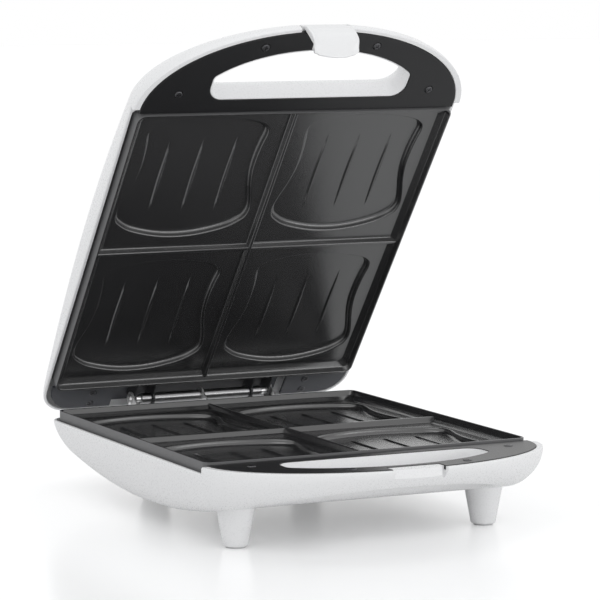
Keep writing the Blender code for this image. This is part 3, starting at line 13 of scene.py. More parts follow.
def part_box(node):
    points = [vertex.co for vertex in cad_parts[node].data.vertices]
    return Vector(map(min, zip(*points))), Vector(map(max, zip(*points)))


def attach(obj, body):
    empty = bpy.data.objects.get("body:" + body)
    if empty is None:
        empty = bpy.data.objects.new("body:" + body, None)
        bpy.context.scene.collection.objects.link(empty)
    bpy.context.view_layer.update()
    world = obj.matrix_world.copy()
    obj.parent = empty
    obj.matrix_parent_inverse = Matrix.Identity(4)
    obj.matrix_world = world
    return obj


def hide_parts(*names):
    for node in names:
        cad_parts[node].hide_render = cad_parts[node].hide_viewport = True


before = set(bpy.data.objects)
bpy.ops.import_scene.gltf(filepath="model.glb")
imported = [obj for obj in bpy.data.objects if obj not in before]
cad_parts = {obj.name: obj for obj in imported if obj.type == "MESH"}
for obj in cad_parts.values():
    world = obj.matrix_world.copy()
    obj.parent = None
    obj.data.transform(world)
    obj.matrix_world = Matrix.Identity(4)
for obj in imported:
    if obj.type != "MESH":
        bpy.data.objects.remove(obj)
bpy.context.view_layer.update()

scene = bpy.context.scene

# Sizes in metres, angles in radians. They are the solids', but for the opening's reach, the catch's
# slot, the latch's drop, widths, lip and sway, and the score ridges, which lie nearer the photograph.
fit_gap = 0.0003
cut_overrun = 0.004
seam_gap = 0.0008
plate_width, plate_depth = 0.252, 0.270
crest = 0.0626
plate_gap = 0.001
plate_corner = 0.0066
plate_rear_band = 0.0038
plate_skirt = 0.012
rib_line, rib_drop = 0.0012, 0.0028
rib_half_top, rib_run = 0.0010, 0.0014
crest_land, rim_wall_run, rim_wall_drop = 0.0011, 0.0016, 0.0044
field_drop, ledge_run = 0.0070, 0.0044
pocket_half_width, pocket_half_length = 0.053, 0.057
pocket_front_margin, pocket_rear_margin = 0.0095, 0.0075
pocket_depth = 0.0042
score_length, score_width, score_height = 0.0725, 0.0029, 0.0010
score_pitch, score_offset = 0.0262, -0.0006
hinge_setback, hinge_rise = 0.0187, 0.0019
lid_angle = math.radians(52.3)
rod_radius, sleeve_radius = 0.0025, 0.0041
ear_sheet = 0.0012
upper_tab_place, sleeve_tab_gap = 0.0419, 0.0007
short_sleeve_length = 0.0080
side_overhang, rim_wall, hull_wall = 0.005, 0.003, 0.0026
handle_rim_drop, side_rim_drop = 0.0020, 0.0071
arc_line_setback, arc_reach, step_setback = 0.0020, 0.0745, 0.0035
base_rear_overhang, lid_rear_overhang = 0.015, 0.034
base_rear_corner, lid_rear_corner = 0.018, 0.0225
base_low, base_bow = 0.0158, 0.630
lid_crown, lid_bow = 0.1055, 0.7448
bow_middle = -0.008
round_side, inner_round_side = 0.0175, 0.014
base_round_end, lid_round_end = 0.030, 0.0125
inner_corner = 0.0035
trim_thickness, trim_proud = 0.0028, 0.0004
trim_arc_width, trim_arc_reach = 0.1255, 0.0710
opening_arc_reach, opening_setback = 0.0540, 0.011
opening_half_length, opening_plate_corner = 0.0775, 0.0105
opening_sway = -0.0018
opening_grip_corner, opening_end_run = 0.0042, 0.0175
trim_screw_places = ((0.100, 0.016), (0.044, 0.0575))
screw_head_radius, screw_head_height, screw_sink = 0.0029, 0.0014, 0.0011
foot_places = ((0.0977, -0.122), (0.064, 0.096))
foot_top_radius, foot_bottom_radius, foot_height, foot_lift = 0.0138, 0.0088, 0.0275, 0.0012
pad_radius, pad_socket_depth = 0.0070, 0.0016
catch_half_width, catch_face_setback, catch_hook_setback = 0.0203, 0.0041, 0.0082
catch_ledge_drop, trim_strip, catch_slot = 0.0092, 0.0060, 0.0030
latch_half_width, latch_notch_gap, lid_notch_depth = 0.0192, 0.0007, 0.0135
latch_axis_setback, latch_axis_height, latch_knuckle = 0.0086, 0.0076, 0.0044
latch_bulge, latch_drop, latch_hook_drop = 0.0015, 0.0240, 0.0145
latch_hook_height, latch_hook_reach, latch_lip_corner = 0.0042, 0.0046, 0.0050
latch_face_half, latch_lip_half, latch_panel_sink = 0.0180, 0.0176, 0.0006
latch_sway = 0.0014
latch_pin_radius, running_gap = 0.0014, 0.0005
gland_radius, gland_place = 0.0068, (0.0, 0.112)
bracket_reach = 0.0012
shelf_half_width, shelf_sheet = 0.0705, 0.0026
base_shelf_drop, lid_shelf_drop = 0.0081, 0.0128
lamp_radius, lamp_side, lamp_depth = 0.0040, 0.014, -0.118
lamp_proud, lamp_length = 0.0007, 0.0054
liner_drop = 0.0050
liner_screw_place, liner_screw_rows = 0.0910, (0.0130, 0.0245)

# Edges and roundings that only the finer meshes have
opening_round_back, opening_round_front, opening_round_run = 0.0140, 0.0060, 0.024
collar_gap, collar_neck = 0.0008, 0.00045
trim_edge, hole_gap, hole_edge = 0.0005, 0.0010, 0.0004
cut_lift = 0.00002
notch_corner, catch_corner, slot_corner, front_overrun = 0.0012, 0.0010, 0.0006, 0.02
latch_edge, latch_points, latch_sag_start = 0.0008, 60, 0.45
plate_edge, pocket_lip, pocket_fillet, pocket_steep = 0.00035, 0.0014, 0.0027, math.radians(78)
pocket_points = 150
cross_arm, cross_width, cross_depth = 0.6, 0.12, 0.45
sleeve_gap, sleeve_edge, lens_round = 0.00035, 0.0004, 0.0008
shelf_match, side_match = 0.0004, 0.0006

# Outlines as shares of half the pocket, and of the latch's bulge, drop and hook
pocket_side = ((0.840, -0.842), (0.888, -0.737), (0.862, -0.540), (0.845, -0.330), (0.850, -0.090),
               (0.895, 0.150), (0.962, 0.375), (1.000, 0.560), (0.975, 0.690), (0.906, 0.763))
pocket_top = ((0.000, -1.000), (0.230, -0.992), (0.470, -0.960), (0.715, -0.905))
pocket_bottom = ((0.755, 0.856), (0.528, 0.930), (0.264, 0.983), (0.000, 1.000))
latch_front = ((0.65, 0.10), (1.00, 0.30), (0.60, 0.52), (-0.70, 0.72), (-3.00, 0.90),
               (-4.50, 1.00), (-5.25, 0.96))
latch_hook = ((0.35, -0.20), (1.00, 0.62), (1.00, 1.00))

half_width, half_depth = plate_width / 2, plate_depth / 2
plate_rear = half_depth + plate_rear_band
shell_half = half_width + side_overhang
shut_middle = crest + plate_gap / 2
axis_y, axis_z = half_depth + hinge_setback, crest + hinge_rise
handle_rim, side_rim = crest - handle_rim_drop, crest - side_rim_drop
arc_line = -half_depth - arc_line_setback
handle_front = arc_line - arc_reach
step_line = arc_line - step_setback + arc_line_setback
trim_top = handle_rim + trim_proud
trim_bottom = trim_top - trim_thickness
seat_height = trim_bottom - fit_gap
lid_low = 2 * shut_middle - lid_crown
field = crest - field_drop
floor_height = field - pocket_depth
skirt_bottom = crest - plate_skirt
catch_face = handle_front + catch_face_setback
catch_hook = handle_front + catch_hook_setback
catch_ledge = handle_rim - catch_ledge_drop
strip_front = arc_line - opening_arc_reach - trim_strip
front_edge = -half_depth - seam_gap

plate_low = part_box("lower_plate")[0]
shift = Matrix.Translation((0, plate_low.y + half_depth, 0))
hinge_point = Vector((0, axis_y, axis_z))
turn_over = Matrix.Translation((0, 0, 2 * shut_middle)) @ Matrix.Rotation(math.pi, 4, 'Y')
open_lid = (shift @ Matrix.Translation(hinge_point) @ Matrix.Rotation(-lid_angle, 4, 'X')
            @ Matrix.Translation(-hinge_point))
lid_place = open_lid @ turn_over


# Mesh helpers
def new_object(bm, name="piece"):
    bmesh.ops.remove_doubles(bm, verts=bm.verts, dist=0.000001)
    bmesh.ops.recalc_face_normals(bm, faces=bm.faces)
    mesh = bpy.data.meshes.new(name)
    bm.to_mesh(mesh)
    bm.free()
    obj = bpy.data.objects.new(name, mesh)
    scene.collection.objects.link(obj)
    return obj


def combine(target, tool, operation):
    modifier = target.modifiers.new("cut", 'BOOLEAN')
    modifier.operation = operation
    modifier.solver = 'EXACT'
    modifier.object = tool
    graph = bpy.context.evaluated_depsgraph_get()
    mesh = bpy.data.meshes.new_from_object(target.evaluated_get(graph))
    target.modifiers.clear()
    target.data = mesh
    bpy.data.objects.remove(tool, do_unlink=True)


def cut(target, tool):
    combine(target, tool, 'DIFFERENCE')


def add(target, tool):
    combine(target, tool, 'UNION')


def copy_of(obj):
    other = obj.copy()
    other.data = obj.data.copy()
    scene.collection.objects.link(other)
    return other


def quarter(steps, first=0):
    """Angles of a quarter turn in even steps."""
    return [math.pi / 2 * k / steps for k in range(first, steps + 1)]


def curve_point(p0, p1, p2, p3, t):
    """Point on the smooth curve from p1 to p2."""
    return 0.5 * ((2 * p1) + (p2 - p0) * t + (2 * p0 - 5 * p1 + 4 * p2 - p3) * t * t
                  + (3 * p1 - p0 - 3 * p2 + p3) * t ** 3)


def level(points, z, out=0.0):
    """An outline at one height, grown outward."""
    return [(x, y, z) for x, y in (grown(points, out) if out else points)]


def bowed(y, low, bow):
    """Height of a shell's bowed floor."""
    return low + (y - bow_middle) ** 2 / (2 * bow)


def skin(bm, rings):
    """Join closed rings of equal count, and give their vertices."""
    loops = [[bm.verts.new(p) for p in ring] for ring in rings]
    for one, two in zip(loops, loops[1:]):
        for i in range(len(one)):
            j = (i + 1) % len(one)
            bm.faces.new((one[i], one[j], two[j], two[i]))
    return loops


def loft(rings):
    """A body through closed rings of equal count, ends capped."""
    bm = bmesh.new()
    loops = skin(bm, rings)
    bm.faces.new(loops[0])
    bm.faces.new(loops[-1])
    return new_object(bm)


def prism(points, low, high):
    return loft([level(points, low), level(points, high)])


def block(x0, x1, y0, y1, z0, z1):
    return prism(((x0, y0), (x1, y0), (x1, y1), (x0, y1)), z0, z1)


def soft_block(x0, x1, y0, y1, z0, z1, radius):
    obj = block(x0, x1, y0, y1, z0, z1)
    bm = bmesh.new()
    bm.from_mesh(obj.data)
    bmesh.ops.bevel(bm, geom=bm.edges[:], offset=radius, segments=3, profile=0.5, affect='EDGES')
    bm.to_mesh(obj.data)
    bm.free()
    return obj


def on_arc(cx, cy, radius, angle):
    return cx + radius * math.cos(angle), cy + radius * math.sin(angle)


def circle(cx, cy, radius, steps=48):
    return [on_arc(cx, cy, radius, 2 * math.pi * i / steps) for i in range(steps)]


def disc(cx, cy, radius, low, high):
    return prism(circle(cx, cy, radius), low, high)


def turned(profile, steps=48):
    """Turn (radius, height) points about Z."""
    bm = bmesh.new()
    rings = []
    for radius, height in profile:
        if radius == 0:
            rings.append([bm.verts.new((0, 0, height))])
            continue
        rings.append([bm.verts.new((x, y, height)) for x, y in circle(0, 0, radius, steps)])
    pairs = list(zip(rings, rings[1:]))
    if len(rings[0]) > 1 and len(rings[-1]) > 1:
        pairs.append((rings[-1], rings[0]))
    for one, two in pairs:
        for i in range(steps):
            j = (i + 1) % steps
            if len(one) == 1:
                bm.faces.new((one[0], two[i], two[j]))
            elif len(two) == 1:
                bm.faces.new((one[i], one[j], two[0]))
            else:
                bm.faces.new((one[i], one[j], two[j], two[i]))
    return new_object(bm)


def moved(obj, matrix):
    obj.data.transform(matrix)
    if matrix.determinant() < 0:
        obj.data.flip_normals()
    return obj


def grown(points, distance):
    """Offset a closed outline outward; distance may be a number or one value a point."""
    area = sum(points[i - 1][0] * points[i][1] - points[i][0] * points[i - 1][1]
               for i in range(len(points)))
    side = 1 if area > 0 else -1
    result = []
    for i, (x, y) in enumerate(points):
        reach = distance[i] if isinstance(distance, list) else distance
        before = (Vector(points[i]) - Vector(points[i - 1])).normalized()
        after = (Vector(points[(i + 1) % len(points)]) - Vector(points[i])).normalized()
        one = Vector((before.y, -before.x)) * side
        two = Vector((after.y, -after.x)) * side
        middle = (one + two).normalized()
        scale = reach / max(middle.dot(one), 0.5)
        result.append((x + middle.x * scale, y + middle.y * scale))
    return result


def mirrored(half):
    return list(half) + [(-p[0], *p[1:]) for p in reversed(half) if p[0] > 1e-7]


# Outlines
def arc_half(width, reach, back, steps=56):
    points = []
    span = math.acos(max(0.0, min(1.0, (arc_line - back) / reach))) if back < arc_line else math.pi / 2
    for i in range(steps + 1):
        angle = span * i / steps
        points.append((width * math.sin(angle), arc_line - reach * math.cos(angle)))
    if back > arc_line:
        points.append((points[-1][0], back))
    return points


def opening_half(steps=26, turns=9):
    back = arc_line - opening_setback
    corner = (opening_half_length - opening_grip_corner, back - opening_end_run)
    turn = math.radians(-50)
    join_x, join_y = on_arc(*corner, opening_grip_corner, turn)
    rise = math.asin(min((arc_line - join_y) / opening_arc_reach, 0.95))
    width = join_x / math.cos(rise)
    points = []
    for i in range(steps):
        angle = (math.pi / 2 - rise) * i / steps
        points.append((width * math.sin(angle), arc_line - opening_arc_reach * math.cos(angle)))
    for i in range(turns + 1):
        points.append(on_arc(*corner, opening_grip_corner, turn * (1 - i / turns)))
    for angle in quarter(turns):
        points.append((opening_half_length - opening_plate_corner * (1 - math.cos(angle)),
                       back - opening_plate_corner * (1 - math.sin(angle))))
    for i in range(1, 8):
        points.append(((opening_half_length - opening_plate_corner) * (1 - i / 8), back))
    points.append((0.0, back))
    return points


opening_points = [(x + opening_sway, y) for x, y in mirrored(opening_half())]


def hull_columns(rear, corner):
    """Half of the hull's outline with the height of its rim: x, y, rim height."""
    half = []
    for angle in quarter(56):
        x, y = shell_half * math.sin(angle), arc_line - arc_reach * math.cos(angle)
        if y > step_line - 0.0022:
            break
        half.append((x, y, handle_rim))

    def across(y):
        return shell_half * math.sqrt(1 - min(1, max(0, (arc_line - y) / arc_reach)) ** 2)

    drop = handle_rim - side_rim
    for ahead, share in ((0.0013, 0), (0.0008, 0.02), (0.0004, 0.08), (0.00015, 0.2), (0.0, 0.85),
                         (-0.0002, 0.95), (-0.0006, 0.99), (-0.0012, 1)):
        y = step_line - ahead
        half.append((across(y), y, handle_rim - drop * share))
    start = step_line + 0.0035
    for i in range(33):
        y = start + (rear - corner - start) * i / 32
        half.append((across(y), y, side_rim))
    for angle in quarter(14, 1):
        half.append((*on_arc(shell_half - corner, rear - corner, corner, angle), side_rim))
    return half


def hull_body(half, centre_y, reach, round_end, low, bow, edge=0.0009, bands=22):
    full = mirrored(half)
    flat = [(x, y) for x, y, z in full]
    columns = []
    inward = grown(flat, -1.0)
    for i, (x, y, top) in enumerate(full):
        direction = Vector((inward[i][0] - x, inward[i][1] - y)).normalized()
        floor = bowed(y, low, bow)
        first = math.asin((handle_rim - top + edge) / (handle_rim - floor))
        line = []
        for k in range(bands + 1):
            phi = first + (math.pi / 2 - first) * k / bands
            draw = 1 - math.cos(phi)
            new_y = centre_y + (y - centre_y) * (1 - round_end / reach * draw)
            floor = bowed(new_y, low, bow)
            line.append((x * (1 - round_side / shell_half * draw), new_y,
                         handle_rim - math.sin(phi) * (handle_rim - floor)))
        head = []
        for k in range(5):
            angle = math.pi / 2 * k / 5
            inset = edge * (1 - math.sin(angle))
            head.append((line[0][0] + direction.x * inset, line[0][1] + direction.y * inset,
                         top - edge * (1 - math.cos(angle))))
        columns.append(head + line)
    bm = bmesh.new()
    grid = [[bm.verts.new(p) for p in column] for column in columns]
    count = len(grid)
    for i in range(count):
        j = (i + 1) % count
        for k in range(len(grid[0]) - 1):
            bm.faces.new((grid[i][k], grid[j][k], grid[j][k + 1], grid[i][k + 1]))
    side = [i for i in range(len(half)) if half[i][0] > 1e-7]
    across = {i: len(half) + len(side) - 1 - n for n, i in enumerate(side)}
    for end in (0, -1):
        for i in range(len(half) - 1):
            strip = [i, i + 1, across.get(i + 1, i + 1), across.get(i, i)]
            bm.faces.new([grid[n][end] for n in dict.fromkeys(strip)])
    return new_object(bm)


def bowl(half, centre_y, top, reach_x, reach_rear, round_x, round_rear, low, bow, bands=14):
    """The heating room: draws in to a bowed floor, with its upper edge flared at the side rim."""
    full = mirrored(half)
    rings = []
    for out, z in ((0.0006, top), (0.0006, side_rim + 0.00002), (0.0003, side_rim - 0.0001),
                   (0.0001, side_rim - 0.0003), (0.0, side_rim - 0.0006)):
        rings.append(level(full, z, out))
    for phi in quarter(bands, 1):
        draw = 1 - math.cos(phi)
        ring = []
        for x, y in full:
            depth = y - centre_y
            new_y = centre_y + depth * (1 - (round_rear / reach_rear * draw if depth > 0 else 0))
            floor = bowed(new_y, low + hull_wall, bow)
            start = side_rim - 0.0006
            ring.append((x * (1 - round_x / reach_x * draw), new_y,
                         start - math.sin(phi) * (start - floor)))
        rings.append(ring)
    bm = bmesh.new()
    loops = skin(bm, rings)
    bm.faces.new(loops[0])
    last = loops[-1]
    n = len(half)
    for i in range(n - 1):
        bm.faces.new([last[i], last[i + 1], last[2 * n - 2 - i], last[2 * n - 1 - i]])
    return new_object(bm)


def cavity_half(rear, corner):
    inner = shell_half - rim_wall
    points = [(inner - inner_corner, front_edge), (inner, front_edge + inner_corner)]
    straight = rear - corner - front_edge - inner_corner
    for i in range(1, 25):
        points.append((inner, front_edge + inner_corner + straight * i / 24))
    for angle in quarter(10, 1):
        points.append(on_arc(inner - corner, rear - corner, corner, angle))
    return points


def hull_height(x, y, centre_y, reach, round_end, low, bow):
    """Height of the hull's outer skin over the point x, y."""
    def outside(draw):
        big_x = x / (1 - round_side / shell_half * draw)
        big_y = centre_y + (y - centre_y) / (1 - round_end / reach * draw)
        if big_y > arc_line:
            return abs(big_x) / shell_half - 1
        return (big_x / shell_half) ** 2 + ((big_y - arc_line) / arc_reach) ** 2 - 1

    floor = bowed(y, low, bow)
    if outside(1) < 0:
        return floor
    below, above = 0.0, 1.0
    for _ in range(30):
        middle = (below + above) / 2
        if outside(middle) < 0:
            below = middle
        else:
            above = middle
    draw = (below + above) / 2
    return handle_rim - math.sin(math.acos(1 - draw)) * (handle_rim - floor)


def opening_tool(height_at, top):
    """Cutter of the finger opening: straight through, broadly rounded where it meets the hull."""
    back = arc_line - opening_setback
    radii = []
    for x, y in opening_points:
        share = min(1.0, max(0.0, (back - y) / opening_round_run))
        share = share * share * (3 - 2 * share)
        radii.append(opening_round_back * (1 - share) + opening_round_front * share)
    rings = [level(opening_points, top)]
    for phi in quarter(9):
        points = grown(opening_points, [r * (1 - math.cos(phi)) for r in radii])
        ring = []
        for (x, y), r in zip(points, radii):
            ring.append((x, y, height_at(x, y) + r * (1 - math.sin(phi))))
        rings.append(ring)
    points = grown(opening_points, [r + 0.003 for r in radii])
    rings.append([(x, y, height_at(x, y) - 0.0015) for x, y in points])
    rings.append(level(points, -0.02))
    return loft(rings)


feet = [(side * across, y) for across, y in foot_places for side in (-1, 1)]
trim_screws = [(side * across, arc_line - ahead) for across, ahead in trim_screw_places for side in (-1, 1)]
lid_lamp_floor = bowed(lamp_depth, lid_low, lid_bow)


def build_shell(rear_overhang, corner, low, bow, round_end, is_lid):
    rear = half_depth + rear_overhang
    centre = (rear + handle_front) / 2
    reach = (rear - handle_front) / 2
    shell = hull_body(hull_columns(rear, corner), centre, reach, round_end, low, bow)
    if not is_lid:
        slope = (foot_top_radius - foot_bottom_radius) / foot_height
        for x, y in feet:
            top = bowed(y, low, bow) + hull_wall
            foot = turned(((0, top), (foot_bottom_radius + slope * top, top),
                           (foot_bottom_radius + slope * 0.003, foot_lift + 0.003),
                           (foot_bottom_radius + slope * 0.001, foot_lift + 0.0008),
                           (foot_bottom_radius - 0.0003, foot_lift + 0.0002),
                           (foot_bottom_radius - 0.0009, foot_lift), (0, foot_lift)), 64)
            add(shell, moved(foot, Matrix.Translation((x, y, 0))))
    high = handle_rim + cut_overrun
    inner_rear = rear - rim_wall
    room = bowl(cavity_half(inner_rear, corner - rim_wall), front_edge, high, shell_half - rim_wall,
                inner_rear - front_edge, inner_round_side, round_end - hull_wall, low, bow)
    shelf_top = crest - (lid_shelf_drop if is_lid else base_shelf_drop)
    cut(room, block(-shelf_half_width, shelf_half_width, plate_rear + bracket_reach - seam_gap,
                    rear, shelf_top - shelf_sheet, shelf_top))
    cut(shell, room)

    # Seat of the trim with its edge eased, round a collar that lines the finger opening
    seat_line = mirrored(arc_half(trim_arc_width + fit_gap, trim_arc_reach + fit_gap,
                                  front_edge + cut_overrun))
    rings = []
    for out, z in ((0.0, seat_height), (0.0, handle_rim - 0.0005), (0.00006, handle_rim - 0.00028),
                   (0.00020, handle_rim - 0.0001), (0.0005, handle_rim + 0.00002), (0.0005, high)):
        rings.append(level(seat_line, z, out))
    seat = loft(rings)
    cut(seat, loft([level(opening_points, 0, collar_gap),
                    level(opening_points, trim_top - 0.0006, collar_gap),
                    level(opening_points, trim_top - 0.0002, collar_neck)]))
    if not is_lid:
        room_for_catch = catch_half_width - fit_gap
        cut(seat, block(-room_for_catch, room_for_catch, handle_front - cut_overrun,
                        strip_front - fit_gap, 0, handle_rim + trim_proud))
    cut(shell, seat)

    def height_at(x, y):
        return hull_height(x, y, centre, reach, round_end, low, bow)

    cut(shell, opening_tool(height_at, high))
    front = handle_front - front_overrun
    if is_lid:
        latch_room = latch_half_width + latch_notch_gap
        notch_back = handle_front + lid_notch_depth
        cut(shell, soft_block(-latch_room, latch_room, front, notch_back, -0.01, high + 0.01, notch_corner))
        for side in (-1, 1):
            cut(shell, disc(side * lamp_side, lamp_depth, lamp_radius + fit_gap, 0,
                            lid_lamp_floor + hull_wall + cut_overrun))
    else:
        cut(shell, soft_block(-catch_half_width, catch_half_width, front, catch_face,
                              catch_ledge - 0.01, high + 0.01, catch_corner))
        cut(shell, soft_block(-catch_half_width, catch_half_width, front, catch_hook,
                              -0.01, catch_ledge, catch_corner))
        cut(shell, soft_block(catch_half_width - catch_slot, catch_half_width - 0.0002, front,
                              catch_face + catch_slot, catch_ledge - 0.001, high + 0.01, slot_corner))
        for x, y in feet:
            cut(shell, disc(x, y, pad_radius + fit_gap, -0.001, foot_lift + pad_socket_depth))
        cut(shell, disc(*gland_place, gland_radius + fit_gap, 0,
                        bowed(gland_place[1], low, bow) + hull_wall + cut_overrun))
    return shell


def build_trim(for_lid):
    outline = mirrored(arc_half(trim_arc_width, trim_arc_reach, front_edge))
    rings = [level(outline, trim_bottom)]
    for angle in quarter(4):
        rings.append(level(outline, trim_top - trim_edge * (1 - math.sin(angle)),
                           -trim_edge * (1 - math.cos(angle))))
    trim = loft(rings)
    hole = grown(opening_points, hole_gap)
    rings = [level(hole, trim_bottom - cut_overrun)]
    for angle in quarter(4):
        rings.append(level(hole, trim_top + cut_lift - hole_edge * (1 - math.sin(angle)),
                           hole_edge * (1 - math.cos(angle))))
    rings.append(level(hole, trim_top + cut_overrun, hole_edge))
    cut(trim, loft(rings))
    if not for_lid:
        cut(trim, block(-catch_half_width, catch_half_width, handle_front - cut_overrun, strip_front,
                        trim_bottom - cut_overrun, trim_top + cut_overrun))
    for x, y in trim_screws:
        wide = screw_head_radius + fit_gap
        seat = turned(((0, trim_top - screw_sink), (wide, trim_top - screw_sink), (wide, trim_top - 0.0003),
                       (wide + 0.00012, trim_top - 0.0001), (wide + 0.0004, trim_top + 0.00002),
                       (wide + 0.0004, trim_top + cut_overrun), (0, trim_top + cut_overrun)))
        cut(trim, moved(seat, Matrix.Translation((x, y, 0))))
    return trim


# Cooking plates
def smooth_loop(points, count):
    """Evenly spaced points on a smooth closed curve through the given ones."""
    dense = []
    n = len(points)
    for i in range(n):
        p0, p1, p2, p3 = (Vector(points[(i + k) % n]) for k in (-1, 0, 1, 2))
        for s in range(10):
            dense.append(curve_point(p0, p1, p2, p3, s / 10))
    length = [0.0]
    for i in range(len(dense)):
        length.append(length[-1] + (dense[(i + 1) % len(dense)] - dense[i]).length)
    result = []
    k = 0
    for i in range(count):
        target = length[-1] * i / count
        while length[k + 1] < target:
            k += 1
        share = (target - length[k]) / (length[k + 1] - length[k])
        p = dense[k].lerp(dense[(k + 1) % len(dense)], share)
        result.append((p.x, p.y))
    return result


def rounded_rect(x0, x1, y0, y1, radius, turns=8):
    points = []
    for cx, cy, start in ((x1 - radius, y0 + radius, -90), (x1 - radius, y1 - radius, 0),
                          (x0 + radius, y1 - radius, 90), (x0 + radius, y0 + radius, 180)):
        for i in range(turns + 1):
            points.append(on_arc(cx, cy, radius, math.radians(start + 90 * i / turns)))
    return points


def build_plate():
    bm = bmesh.new()

    def edges_of(loop):
        return [bm.edges.get((loop[i], loop[(i + 1) % len(loop)])) for i in range(len(loop))]

    # Side and rim: how far in, how high, and the corner's radius where it isn't the plate's
    wall_end, foot_z = crest_land + rim_wall_run, crest - rim_wall_drop
    ledge_end = wall_end + ledge_run
    rings = []
    for inset, z, corner in ((0.0009, skirt_bottom - 0.0010, None), (0.0, skirt_bottom, None),
                             (0.0, crest - plate_edge, None),
                             (plate_edge * 0.3, crest - plate_edge * 0.3, None), (plate_edge, crest, None),
                             (crest_land - 0.0001, crest, None),
                             (crest_land + 0.0002, crest - 0.00012, None),
                             (crest_land + 0.00045, crest - 0.0005, None),
                             (wall_end - 0.0003, foot_z + 0.0008, 0.0042),
                             (wall_end + 0.0002, foot_z + 0.0001, 0.0048),
                             (wall_end + 0.0011, foot_z - 0.0005, 0.0050),
                             (ledge_end - 0.0008, field + 0.00025, 0.0056),
                             (ledge_end, field + 0.00002, 0.0060), (ledge_end + 0.0008, field, 0.0060)):
        corner = corner or max(plate_corner - inset, 0.0022)
        rings.append(level(rounded_rect(-half_width + inset, half_width - inset, -half_depth + inset,
                                        plate_rear - inset, corner), z))
    loops = skin(bm, rings)
    bm.faces.new(loops[0])
    inner_edges = edges_of(loops[-1])

    # Pockets: how far out of the outline, and how far down
    lip, fillet, steep = pocket_lip, pocket_fillet, pocket_steep
    drop = pocket_depth - (lip + fillet) * (1 - math.cos(steep))
    foot = lip - (lip + fillet) * math.sin(steep) - drop / math.tan(steep)
    profile = []
    for k in range(9):
        angle = steep * k / 8
        profile.append((lip - lip * math.sin(angle), lip * (1 - math.cos(angle))))
    for k in range(10, -1, -1):
        angle = steep * k / 10
        profile.append((foot + fillet * math.sin(angle), pocket_depth - fillet * (1 - math.cos(angle))))
    right = [(u * pocket_half_width, v * pocket_half_length)
             for u, v in pocket_top + pocket_side + pocket_bottom]
    outline = smooth_loop(mirrored(right), pocket_points)
    pockets = [(side * half_width / 2, y) for side in (-1, 1)
               for y in (-half_depth + pocket_front_margin + pocket_half_length,
                         half_depth - pocket_rear_margin - pocket_half_length)]
    for centre_x, centre_y in pockets:
        loops = skin(bm, [[(centre_x + x, centre_y + y, field - down) for x, y in grown(outline, out)]
                          for out, down in profile])
        bm.faces.new(loops[-1])
        inner_edges += edges_of(loops[0])
    bmesh.ops.triangle_fill(bm, use_beauty=True, edges=inner_edges)
    plate = new_object(bm)

    # Cross ribs with eased tops and feet
    rib_top = crest - rib_drop
    foot = rib_half_top + rib_run
    section = [(foot + 0.0012, field - 0.0012), (foot + 0.0012, field + 0.00004),
               (foot + 0.0004, field + 0.0003), (foot - 0.0001, field + 0.0009),
               (rib_half_top + 0.0004, rib_top - 0.0007),
               (rib_half_top + 0.0001, rib_top - 0.00025), (rib_half_top - 0.0003, rib_top - 0.00005),
               (rib_half_top - 0.0006, rib_top)]
    section += [(-x, z) for x, z in reversed(section)]
    reach_x, tuck = half_width - crest_land - 0.0006, crest_land + 0.0006
    along = loft([[(x, y, z) for x, z in section] for y in (tuck - half_depth, plate_rear - tuck)])
    across = loft([[(x, rib_line + y, z) for y, z in section] for x in (-reach_x, reach_x)])
    add(along, across)
    add(plate, along)

    # Three score ridges on each pocket floor, running out to a point at both ends
    ends = [math.pi * i / 16 for i in range(32)]
    for centre_x, centre_y in pockets:
        for k in (-1, 0, 1):
            x, y = centre_x + k * score_pitch, centre_y - score_offset
            rings = []
            for share, length, z in ((0.60, 1.0, -0.0006), (0.60, 1.0, 0.0),
                                     (0.44, 0.94, score_height * 0.3), (0.27, 0.86, score_height * 0.8),
                                     (0.09, 0.76, score_height)):
                rings.append([(x + score_width * share * math.sin(t) * abs(math.sin(t)),
                               y - score_length / 2 * length * math.cos(t), floor_height + z)
                              for t in ends])
            add(plate, loft(rings))
    return plate


def build_screw():
    """Pan head with a cross recess, its seat at zero height."""
    top = screw_head_height
    profile = [(0, top)]
    for angle in quarter(8):
        profile.append((screw_head_radius * (0.62 + 0.38 * math.sin(angle)),
                        top - top * 0.55 * (1 - math.cos(angle))))
    profile += [(screw_head_radius, 0), (0, 0)]
    head = turned(profile, 40)
    arm, width, deep = screw_head_radius * cross_arm, screw_head_radius * cross_width, top * cross_depth
    for turn in (0, 90):
        tool = block(-arm, arm, -width, width, top - deep, top + deep)
        cut(head, moved(tool, Matrix.Rotation(math.radians(turn), 4, 'Z')))
    return head


